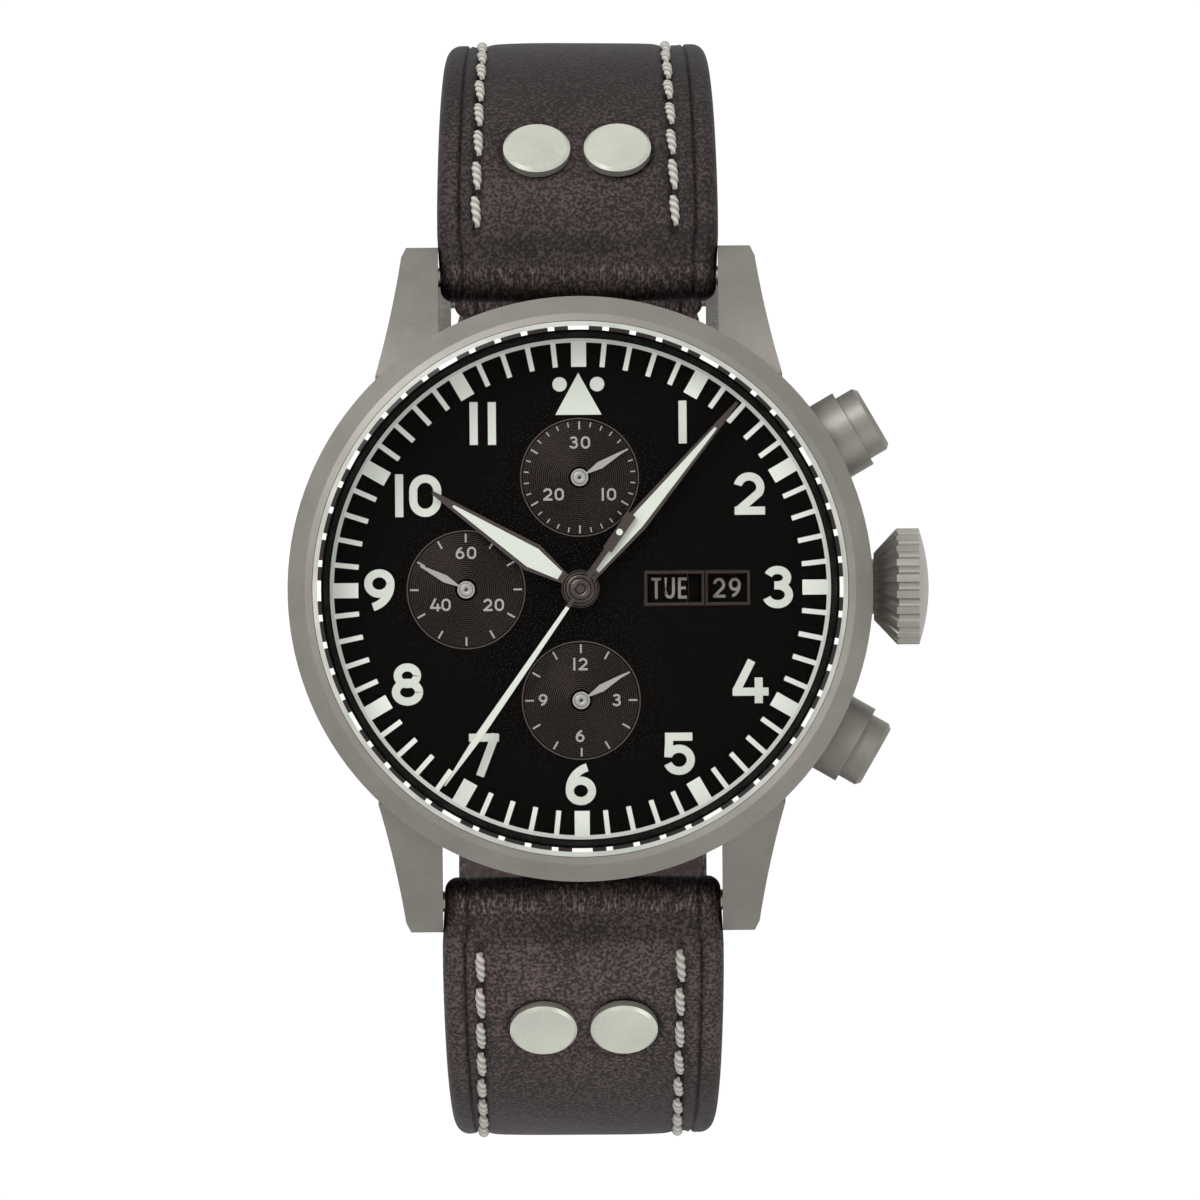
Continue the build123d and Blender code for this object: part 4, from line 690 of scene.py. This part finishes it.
def subdial_grooves():
    """The fine turned rings of each counter, with every other groove flank in a lighter copy of the colour
    as a painted sheen.
    """
    floor_z = dial_top - SUBDIAL_DEPTH + 0.006
    profile, r = [], GROOVES[0]
    while r < GROOVES[1]:
        profile += [(r, floor_z), (r + GROOVE_PITCH / 2, floor_z + GROOVE_DEPTH)]
        r += GROOVE_PITCH
    for label, centre in zip(("twelve", "nine", "six"), SUBDIALS):
        rings = lathe(
            f"subdial_rings_{label}", profile, 120, SUBDIAL, "case", centre,
            smooth=False, close=False,
        )
        rings.data.materials.append(SUBDIAL_PAINTED_SHEEN)
        for i, polygon in enumerate(rings.data.polygons):
            # Every other flank takes the painted sheen.
            polygon.material_index = i % (len(profile) - 1) % 2


def window_trim():
    """The raised, bevelled frame round the two calendar windows, with the bar between them."""
    verts, faces = [], []
    low_x, high_x, half = WINDOW_FRAME
    sides = ((low_x, WINDOW_SPLIT), (WINDOW_SPLIT, high_x))

    def corners(left, right, reach):
        return (left, -reach), (right, -reach), (right, reach), (left, reach)

    for outer_x, hole_x in zip(sides, WINDOWS):
        outer, inner = corners(*outer_x, half), corners(*hole_x, WINDOW_HALF)
        start = len(verts)
        for share, rise in ((0.0, 0.0), (0.3, 0.07), (0.6, 0.07), (1.0, 0.0)):
            verts += [
                (o[0] + (i[0] - o[0]) * share, o[1] + (i[1] - o[1]) * share, dial_top + WINDOW_RIM + rise)
                for o, i in zip(outer, inner)
            ]
        for row in range(3):
            faces += quads(start + row * 4, start + row * 4 + 4, 4)
    add_mesh("window_trim", verts, faces, WINDOW_METAL, "case")


def sector(inner, outer, half_degrees):
    """Outline of a part of a ring, about the +X direction."""
    angles = [radians(degrees) for degrees in evenly(-half_degrees, half_degrees, 17)]
    points = [(outer * cos(a), outer * sin(a)) for a in angles]
    return points + [(inner * cos(a), inner * sin(a)) for a in reversed(angles)]


def calendar_print():
    """Day and date, and the fixed strips that close the gap between their discs under the windows."""
    bottom, top = (corner[2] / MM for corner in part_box("day_disc"))
    rim = Shapes(bottom, top - bottom)
    rim.prism(sector(7.77, 8.43, 14))
    rim.piece("calendar_strip", DIAL)
    plate = Shapes(bottom - 0.13, 0.08)
    plate.prism(sector(8.0, 14.4, 18))
    plate.piece("calendar_plate", DIAL)
    for label, body, text, x, narrow in (
        ("day_text", "day", "TUE", 6.4, 0.7), ("date_text", "date", "29", 10.52, 0.82),
    ):
        letters = Shapes(top + 0.003, 0.02)
        write(letters, text, (x, 0), CALENDAR_H, CALENDAR_STROKE, narrow)
        letters.piece(label, DAY_PRINT, body)


# Hands
def turned(points, degrees):
    """Points drawn towards twelve, turned clockwise."""
    angle = radians(degrees)
    return [(x * cos(angle) + y * sin(angle), -x * sin(angle) + y * cos(angle)) for x, y in points]


def blade(steps):
    """The outline of a filling from (distance, half width) steps, base first."""
    right = [(half, along) for along, half in steps]
    return [(-right[0][0], right[0][1])] + right + [(-x, y) for x, y in reversed(right[1:])]


def hand_fillings():
    """Pale fillings set into the dark frames."""
    for label, body, slot_name, z, angle, steps in (
        ("hour_hand_lume", "hours", "hand_metal", hour_z, HOUR_ANGLE, HOUR_BLADE),
        ("minute_hand_lume", "minutes", "hand_metal", minute_z, MINUTE_ANGLE, MINUTE_BLADE),
        ("chrono_hand_lume", "chronograph", "hand_white", chrono_z, CHRONO_ANGLE, CHRONO_BLADE),
    ):
        filling = Shapes(z - FILLING_RISE, FILLING_RISE * 3)
        filling.prism(turned(blade(steps), angle))
        if body == "chronograph":
            filling.prism(turned(circle((0, CHRONO_SPOT_Y), CHRONO_SPOT_R, 20), angle))
        filling.piece(label, LUME, body, slot_name)


def hub_rings():
    """The rings and the cap on the three hands at the centre."""
    for label, body, z, radius in (
        ("hour_hub_ring", "hours", hour_z, HUB_R[0]), ("minute_hub_ring", "minutes", minute_z, HUB_R[1]),
    ):
        high = z + HUB_RISE
        ring = [(radius - 0.45, z), (radius, z), (radius - 0.12, high), (radius - 0.4, high)]
        lathe(label, ring, 72, HAND_DARK, body)
    high = chrono_z + 0.16
    cap = [(0.32, chrono_z), (0.8, chrono_z), (0.7, high), (0.36, high)]
    lathe("chrono_hub_cap", cap, 72, HAND_DARK, "chronograph")


def counter_caps():
    """Caps on the small hands, each with a dark pin in the middle."""
    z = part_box("small_seconds_hand")[1][2] / MM
    sunk, high = z + 0.03, z + HUB_RISE
    cap = [(0.0, z), (0.5, z), (0.42, high), (0.16, high), (0.12, sunk), (0.0, sunk)]
    pin = [(0.0, z + 0.07), (0.12, z + 0.07), (0.12, sunk), (0.0, sunk)]
    labels = ("minute_counter", "small_seconds", "hour_counter")
    bodies = ("minute_counter", "seconds", "hour_counter")
    for label, body, centre in zip(labels, bodies, SUBDIALS):
        lathe(label + "_cap", cap, 48, HAND_PALE, body, centre, close=False)
        lathe(label + "_pin", pin, 24, HAND_DARK, body, centre, close=False)


def crystal_pieces():
    """The dome, and the bevel round it with a black inner wall."""
    low, high = (corner[2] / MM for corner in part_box("crystal"))
    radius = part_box("crystal")[1][0] / MM
    rim_r, shoulder = radius - BEVEL_W, low + SHOULDER_H
    rim_z, wall_r, bevel_r = shoulder + BEVEL_RISE, rim_r - 0.05, rim_r + 0.004
    dome_h = high - rim_z
    sphere_r = (rim_r**2 + dome_h**2) / (2 * dome_h)
    dome = [(r, high - (sphere_r - math.sqrt(sphere_r**2 - r**2))) for r in evenly(0, rim_r, 25)]
    dome += [(wall_r, rim_z - 0.02), (wall_r, low), (0, low)]
    glass = lathe("crystal_dome", dome, 180, CRYSTAL, "case", close=False)
    edge = [(bevel_r, rim_z), (radius, shoulder), (radius, low), (bevel_r, low)]
    bevel = lathe("crystal_bevel", edge, 180, CRYSTAL_EDGE, "case", smooth=False)
    bevel.data.materials.append(FLANGE)
    for i, polygon in enumerate(bevel.data.polygons):
        polygon.material_index = 1 if i % 4 in (2, 3) else 0
    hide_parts("crystal")
    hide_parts("crystal")


def jewels():
    """Red bearing stones in the bridges."""
    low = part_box("train_bridge")[0][2] / MM
    stone = [(0.18, low - 0.02), (0.5, low - 0.02), (0.55, low + 0.04), (0.18, low + 0.04)]
    for label, centre in (("third", (-4.517, 2.286)), ("fourth", (-8.2, 0.0)), ("escape", (-7.523, -3.841))):
        lathe(f"jewel_{label}", stone, 40, RUBY, "case", centre)
    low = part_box("balance_cock")[0][2] / MM
    cap = [(0.0, low - 0.06), (0.35, low - 0.05), (0.6, low), (0.6, low + 0.05), (0.0, low + 0.05)]
    lathe("jewel_balance", cap, 40, RUBY, "case", (-5.48, -7.85), close=False)


# Strap. A side is 1 for the buckle half, which lies towards +Y, and -1 for the tail half.
# The way over from the roll round the bar to the outer arc, as (distance from the middle, height)
ROLL_TO_ARC = (
    (22.75, 4.10), (23.2, 4.065), (23.65, 4.01), (24.1, 3.945), (24.55, 3.88), (25.0, 3.81), (25.35, 3.735),
)
# Columns of points across the strap, in from the rounded edge, close together at the crease and the seam
COLUMNS_IN = (
    [0.3, 0.48, 0.54, 0.60, 0.65, 0.70, 0.76, 0.84] + evenly(0.96, 3.0, 18) + [3.15, 3.35, 3.6]
    + evenly(3.9, 5.7, 7) + evenly(6.1, 7.7, 5)
)


def arc_point(side, centre_y, radius, degrees):
    angle = radians(degrees)
    return side * (centre_y + radius * sin(angle)), ARC_Z + radius * cos(angle)


def leather_thickness(degrees):
    """The padded thickness on the upper arc."""
    share = clamp((degrees - START_ANGLE) / (90 - START_ANGLE))
    return LUG_T + (THIN_T - LUG_T) * share**0.85


def half_width(y, z):
    """Narrower between the lugs, widest just beyond them, tapering towards the buckle."""
    if z >= ARC_Z:
        beyond = clamp((y - 24.2) / 1.8)
        share = clamp((BAR_Z - z) / (BAR_Z - ARC_Z))
        return LUG_HALF + BEYOND_LUGS * smooth_step(beyond) - ARC_TAPER * share**1.2
    low = clamp((ARC_Z - z) / 10.0)
    return ARC_HALF - (ARC_HALF - TAIL_W / 2) * smooth_step(low)


def strap_loop(side, low_r, end_angle, flat):
    """The outer face as ((y, z), length along it) and the inner face as (y, z)."""
    low_y = ARC_Y + ARC_R - low_r
    outer = []
    for angle in evenly(OUTER_START, 90, 211):
        outer.append((arc_point(side, ARC_Y, ARC_R, angle), ARC_R * radians(angle - START_ANGLE)))
    travelled = ARC_R * radians(90 - START_ANGLE)
    for angle in evenly(90, end_angle, int((end_angle - 90) * 1.6) + 1)[1:]:
        outer.append((arc_point(side, low_y, low_r, angle), travelled + low_r * radians(angle - 90)))
    travelled += low_r * radians(end_angle - 90)
    inner = [
        arc_point(side, ARC_Y, ARC_R - leather_thickness(angle), angle)
        for angle in evenly(INNER_START, 90, 61)
    ]
    inner += [arc_point(side, low_y, low_r - THIN_T, angle) for angle in evenly(90, end_angle, 71)[1:]]
    if flat:
        y, z = outer[-1][0]
        outer += [((y - side * run, z), travelled + run) for run in evenly(0, flat, 141)[1:]]
        y, z = inner[-1]
        inner += [(y - side * run, z) for run in evenly(0, flat, 61)[1:]]
    return outer, inner


def roll(side, y, z, radius, first, last, count):
    """Profile points round a roll, from one angle to another in degrees."""
    angles = [radians(degrees) for degrees in evenly(first, last, count)]
    return [(y - side * radius * cos(a), z + radius * sin(a), None, 0) for a in angles]


def strap_profile(side, low_r, end_angle, flat):
    """Points (y, z, length or None, 1 on the lining): the roll, the outer face, the end and the lining."""
    outer, inner = strap_loop(side, low_r, end_angle, flat)
    points = roll(side, side * BAR_Y, BAR_Z, ROLL_R, -128, 86, 45)
    points += [(side * y, z, None, 0) for y, z in ROLL_TO_ARC]
    points += [(y, z, length, 0) for (y, z), length in outer]
    if flat:
        y, z = outer[-1][0]
        points += [(y - side * 0.12, z + THIN_T * share, None, 0) for share in (0.25, 0.5, 0.75)]
    else:
        y, z = arc_point(side, ARC_Y + ARC_R - low_r, low_r - THIN_T / 2, end_angle)
        points += roll(side, y - side * BUCKLE_ROLL_R, z, BUCKLE_ROLL_R, -100, 100, 18)[1:]
    return points + [(y, z, None, 1) for y, z in reversed(inner)]


def edge_rows():
    """Across the rounded edge: (millimetres in from the edge, drop below the face)."""
    angles = [radians(degrees) for degrees in evenly(0, 90, 9)]
    return [(EDGE_R * (1 - cos(a)), EDGE_R * (1 - sin(a))) for a in angles]


def seam_x(side, x_side, length):
    """Where the seam runs across the strap at a length along it."""
    near, far = SEAMS[(side, x_side)]
    return near + (far - near) * clamp((length - FIRST_STITCH) / 20.0)


def rivet_distance(x, length):
    return math.hypot(abs(x) - RIVET_X, length - ARC_R * radians(RIVET_ANGLE - START_ANGLE))


def relief(side, x, edge, length, stitches):
    """How far the outer leather sinks at its edge crease, drawn seam, stitch holes and round each rivet."""
    crease = 0.2 * hump(edge - CREASE_IN, 0.1) + 0.05 * hump(edge - CREASE_IN - 0.4, 0.2)
    if length is None:
        return crease * 0.6
    seam = abs(seam_x(side, 1 if x > 0 else -1, length))
    fade = clamp((length - 1.2) / 1.6)
    off = abs(x) - seam
    drawn = 0.16 * fade * hump(off, 0.55)
    nearest = min((abs(length - place) for place in stitches), default=9) / STITCH_PITCH
    hole = 0.0
    if nearest < 0.75:
        hole = 0.34 * hump(off, 0.26) * sin(min(nearest, 0.5) * pi) ** 6
    padding = 0.14 * fade * (1 - (abs(x) / seam) ** 4) if off < 0 else 0.0
    away = rivet_distance(x, length) - DISH_R
    dish = 0.34 * hump(max(away, 0), 0.5) if away < 2.2 else 0.0
    return crease + drawn + hole - padding + dish


def painted_light(side, x, y, z, edge, length, inside):
    """Painted light and shade on the leather at a place: painted shade in its crease, its seams, under the
    roll and in the dish round each rivet, painted highlights on the rounded edge, the roll and the padding,
    painted shade on the steep far part and a little outside the seams, and the tail half painted lighter
    than the buckle half.
    """
    if inside:
        return 1.0
    # Painted shade in the crease along the edge, and a painted highlight on the rounded edge.
    value = 1 - 0.5 * hump(edge - CREASE_IN, 0.14)
    if edge < CREASE_IN:
        value *= 0.86 + 0.3 * hump(edge - 1.05, 0.3)
    away = abs(y)
    # Painted shade under the roll round the bar.
    if length is None and z > -4 and away < 26:
        value *= 0.3 + 0.7 * smooth_step(clamp((away - 20.9) / 1.7))
    # A painted highlight on the roll and painted shade in the valley beyond it.
    if z > 0 and away < 26.5:
        value *= 1 + 0.16 * hump(away - 23.0, 0.6) - 0.2 * hump(away - 24.7, 0.7)
    # Painted light: the roll of the tail half lighter than that of the buckle half.
    if length is None:
        return value * (0.92 if side > 0 else 1.4)
    # Painted shade along each seam and a little outside it, and in the dish round each rivet.
    off = abs(x) - abs(seam_x(side, 1 if x > 0 else -1, length))
    value *= 1 - 0.42 * hump(off, 0.42)
    if off > 0:
        value *= 0.9
    value *= 1 - 0.42 * hump(max(rivet_distance(x, length) - DISH_R, 0), 0.42)
    # Painted shade on the steep far part, a painted highlight on the padding below the rivets, and the tail
    # half painted lighter.
    steep = clamp((length - 10.0) / 9.0)
    painted_gleam = 0.22 * hump(length - 5.0, 3.2) * hump(x, 6.5, 4)
    if side < 0:
        return value * (1.62 + 1.6 * painted_gleam - 0.8 * steep)
    return value * (1.0 + painted_gleam - 0.55 * steep)


def unevenness(y, z, x):
    """A slow unevenness of worn leather."""
    return 0.05 * sin(0.31 * y + 0.21 * z + 0.6) * sin(0.42 * x + 0.17 * z)


def stitch_places(low_r, end_angle, flat):
    """Lengths along the outer face where the stitches lie."""
    total = ARC_R * radians(90 - START_ANGLE) + low_r * radians(end_angle - 90) + flat
    places, length = [], FIRST_STITCH
    while length < total - (9.5 if flat else 2.5):
        places.append(length)
        length += STITCH_PITCH
    return places


def rounded_tip(near):
    """Share of the width that the tail has at so many millimetres from its tip."""
    return math.sqrt(max(1 - ((TIP_L - near) / TIP_L) ** 2.4, 0.0)) * 0.92 + 0.08 if near < TIP_L else 1


def strap_half(name, node, body, side, low_r, end_angle, flat=0):
    """One half of the strap as one closed skin, lined inside. Gives the places of its stitches."""
    profile = strap_profile(side, low_r, end_angle, flat)
    stitches = stitch_places(low_r, end_angle, flat)
    count = len(profile)
    tip_y = max(-side * point[0] for point in profile)
    rows = edge_rows()
    verts, painted_tones, width = [], [], 0
    for i, (y, z, length, inside) in enumerate(profile):
        ay, az = profile[i - 1][:2]
        by, bz = profile[(i + 1) % count][:2]
        size = math.hypot(by - ay, bz - az) or 1
        ny, nz = -side * (bz - az) / size, side * (by - ay) / size
        wide = half_width(side * y, z)
        if flat and z < ARC_Z - 5:
            wide *= rounded_tip(tip_y + side * y)
        squeeze = min(1.0, wide / (TAIL_W / 2))
        half_line = [(wide - inset * squeeze, drop * squeeze) for inset, drop in rows]
        half_line += [(wide - (EDGE_R + inset) * squeeze, 0) for inset in COLUMNS_IN]
        line = [(-x, drop) for x, drop in half_line] + [(0, 0)] + half_line[::-1]
        width = len(line)
        for k, (x, drop) in enumerate(line):
            edge = wide - abs(x)
            if not inside and len(rows) <= k < width - len(rows):
                drop += relief(side, x, edge, length, stitches) * squeeze
            if length is not None:
                drop -= unevenness(y, z, x)
            verts.append((x, y - ny * drop, z - nz * drop))
            # Painted light and shade for this vertex.
            painted_tones.append(painted_light(side, x, y, z, edge, length, inside))
    faces, lining = [], []
    for i in range(count):
        j = (i + 1) % count
        faces += quads(i * width, j * width, width, closed=False)
        lining += [profile[i][3] and profile[j][3] and 4 < k < width - 6 for k in range(width - 1)]
    faces.append([i * width for i in range(count)])
    faces.append([i * width + width - 1 for i in reversed(range(count))])
    piece = add_mesh(name, verts, faces, LEATHER, body, True)
    piece.data.materials.append(LINING)
    for polygon, lined in zip(piece.data.polygons, lining):
        polygon.material_index = 1 if lined else 0
    set_painted_light(piece, painted_tones)
    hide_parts(node)
    return stitches


def thread(verts, faces, painted_tones, a, b, lift):
    """A stitch of two twisted strands, sunk at both ends and pointed at its far end."""
    a, b = Vector(a), Vector(b)
    along = (b - a).normalized()
    up = Vector(lift).normalized()
    across = along.cross(up).normalized()
    sections, around, bow, turns = 33, 12, 0.2, 4.0
    start = len(verts)
    for t in evenly(0, 1, sections):
        centre = a.lerp(b, t) + up * (bow * sin(pi * t) ** 0.7 - STITCH_R * 0.35)
        body = min(sin(pi * (0.08 + 0.84 * t)) * 1.35, 1.0)
        r = STITCH_R * (0.42 + 0.58 * body) * (1 - 0.28 * t**3)
        for angle in round_turn(around):
            ridge = cos(2 * angle - 2 * pi * t * turns)
            reach = r * (1 + 0.11 * ridge)
            # Painted shade in the grooves between the twisted strands, a little lighter on their ridges.
            painted_tones.append(0.74 + 0.3 * ridge)
            verts.append(tuple(
                centre + across * (reach * cos(angle)) + up * (reach * 0.9 * sin(angle))
            ))
    for i in range(sections - 1):
        faces += quads(start + i * around, start + (i + 1) * around, around)
    faces.append([start + j for j in reversed(range(around))])
    faces.append([start + (sections - 1) * around + j for j in range(around)])


def outer_at(side, low_r, end_angle, length):
    """Point (y, z), outward normal and direction of the outer face at a length along it."""
    upper = ARC_R * radians(90 - START_ANGLE)
    lower = low_r * radians(end_angle - 90)
    if length <= upper:
        angle, centre_y, radius = START_ANGLE + math.degrees(length / ARC_R), ARC_Y, ARC_R
    else:
        turned_by = min(length - upper, lower)
        angle, centre_y, radius = 90 + math.degrees(turned_by / low_r), ARC_Y + ARC_R - low_r, low_r
    a = radians(angle)
    y, z = arc_point(side, centre_y, radius, angle)
    along = (side * cos(a), -sin(a))
    extra = max(length - upper - lower, 0)
    return (y + along[0] * extra, z + along[1] * extra), (side * sin(a), cos(a)), along


def strap_stitches(name, body, side, low_r, end_angle, stitches):
    """Both seams of a half, with the small unevenness of hand sewing."""
    verts, faces, painted_tones = [], [], []
    for x_side in (-1, 1):
        drift = 0.0
        for length in stitches:
            (y, z), normal, along = outer_at(side, low_r, end_angle, length)
            half = STITCH_L / 2 * random.uniform(0.93, 1.05)
            drift = max(-0.14, min(0.14, drift + random.uniform(-0.09, 0.09)))
            x = seam_x(side, x_side, length) + drift * 0.5
            slant = random.uniform(0.04, 0.13) * side
            sink = -0.12
            ends = [
                (x - way * slant, y + way * along[0] * half + normal[0] * sink,
                 z + way * along[1] * half + normal[1] * sink)
                for way in (side, -side)
            ]
            thread(verts, faces, painted_tones, *ends, (0, *normal))
    piece = add_mesh(name, verts, faces, THREAD, body, True)
    set_painted_light(piece, painted_tones)


def keeper_loop(name, node, body, degrees, play):
    """A rounded leather loop, crowned over its length along the strap."""
    wide, high, corner = TAIL_W / 2 + play, THIN_T / 2 + play, KEEPER_CORNER
    turn = radians(degrees)
    along = Vector((0, cos(turn), -sin(turn)))
    normal = Vector((0, sin(turn), cos(turn)))
    centre = Vector((0, *arc_point(1, ARC_Y + ARC_R - BUCKLE_R, BUCKLE_R - THIN_T / 2, degrees)))
    loop = []
    for cx, cy, first in ((wide, high, 0), (-wide, high, 90), (-wide, -high, 180), (wide, -high, 270)):
        for angle in evenly(first, first + 90, 7):
            a = radians(angle)
            px, py = cx - math.copysign(corner, cx), cy - math.copysign(corner, cy)
            loop.append(((px, py), (cos(a), sin(a))))
    end, middle, inner = KEEPER_L / 2, corner + KEEPER_T / 2, corner + 0.02
    section = [(t * KEEPER_L / 2, corner + KEEPER_T - 0.16 * t**4 - 0.05) for t in evenly(-1, 1, 13)]
    section += [(end, middle), (end, inner), (-end, inner), (-end, middle)]
    verts, faces, count = [], [], len(section)
    thin = KEEPER_SIDE_T / KEEPER_T
    for (px, py), (nx, ny) in loop:
        for w, r in section:
            reach = corner + (r - corner) * (thin + (1 - thin) * abs(ny))
            point = centre + Vector((px + nx * reach, 0, 0)) + normal * (py + ny * reach) + along * w
            verts.append(tuple(point))
    for i in range(len(loop)):
        faces += quads(i * count, (i + 1) % len(loop) * count, count)
    piece = add_mesh(name, verts, faces, LEATHER, body, True)
    set_painted_light(piece, [1.0] * len(verts))
    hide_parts(node)


# Studio
def floor_white():
    """White to the camera, and still dimmed a little by the watch's shadow."""
    look = Finish("floor_white", "MixShader")
    diffuse = look.add("BsdfDiffuse", {0: (0.8, 0.8, 0.8, 1)}).outputs[0]
    glow = look.add("Emission", {0: (1, 1, 1, 1), 1: 1.04}).outputs[0]
    seen = look.add("LightPath").outputs["Is Camera Ray"]
    return look.done({0: look.maths("MULTIPLY", seen, 0.94), 1: diffuse, 2: glow})


def floor_and_world():
    floor_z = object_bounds()[0][2]
    bpy.ops.mesh.primitive_plane_add(size=6, location=(0, 0, floor_z - 0.05 * MM))
    floor = bpy.context.object
    floor.name = "floor"
    floor.data.materials.append(floor_white())
    world = bpy.data.worlds.new("studio")
    bpy.context.scene.world = world
    world.use_nodes = True
    nodes, links = world.node_tree.nodes, world.node_tree.links
    sky = nodes["Background"]
    sky.inputs[0].default_value = (1, 1, 1, 1)
    seen = nodes.new("ShaderNodeLightPath")
    strength = nodes.new("ShaderNodeMath")
    strength.operation = "MULTIPLY_ADD"
    strength.inputs[1].default_value = 0.14
    strength.inputs[2].default_value = 0.90
    links.new(seen.outputs["Is Camera Ray"], strength.inputs[0])
    links.new(strength.outputs[0], sky.inputs[1])


def lamp(name, energy, size, spot):
    """A square lamp that looks at the hands' axis. Its size and place are in metres."""
    data = bpy.data.lights.new(name, "AREA")
    data.energy, data.size = energy, size
    data.shape = "SQUARE"
    item = bpy.data.objects.new(name, data)
    item.location = spot
    item.rotation_euler = (-Vector(spot)).to_track_quat("-Z", "Y").to_euler()
    bpy.context.scene.collection.objects.link(item)


def camera_above():
    """Square to the dial from far away, so that the view is close to a flat one."""
    distance, view_w, plane, sensor = 4.0, 86.0 * MM, 0.0134, 36.0
    data = bpy.data.cameras.new("camera")
    data.sensor_width = sensor
    data.lens = sensor * (distance - plane) / view_w
    data.clip_end = 20
    camera = bpy.data.objects.new("camera", data)
    camera.location = (1.40 * MM, -0.81 * MM, distance)
    camera.rotation_euler = (0, 0, radians(-CAMERA_TILT))
    bpy.context.scene.collection.objects.link(camera)
    bpy.context.scene.camera = camera
    bpy.context.scene.view_settings.view_transform = "Standard"


minute_track()
hour_numerals()
minute_ring()
counter_print()
subdial_grooves()
window_trim()
calendar_print()
hand_fillings()
hub_rings()
counter_caps()
crystal_pieces()
jewels()
buckle_arc, tail_arc = (1, BUCKLE_R, BUCKLE_END), (-1, TAIL_R, TAIL_END)
upper = strap_half("strap_buckle_leather", "strap_buckle_half", "buckle_half", *buckle_arc)
lower = strap_half("strap_tail_leather", "strap_tail_half", "tail_half", *tail_arc, TAIL_FLAT)
strap_stitches("stitches_buckle_half", "buckle_half", *buckle_arc, upper)
strap_stitches("stitches_tail_half", "tail_half", *tail_arc, lower)
keeper_loop("fixed_keeper_leather", "fixed_keeper", "buckle_half", 157.0, 0.18)
keeper_loop("free_keeper_leather", "free_keeper", "sliding_keeper", 138.0, 0.3)
floor_and_world()
lamp("key", 6.5, 0.5, (-0.45, 0.55, 0.75))
lamp("fill", 1.9, 0.6, (0.6, -0.45, 0.6))
camera_above()
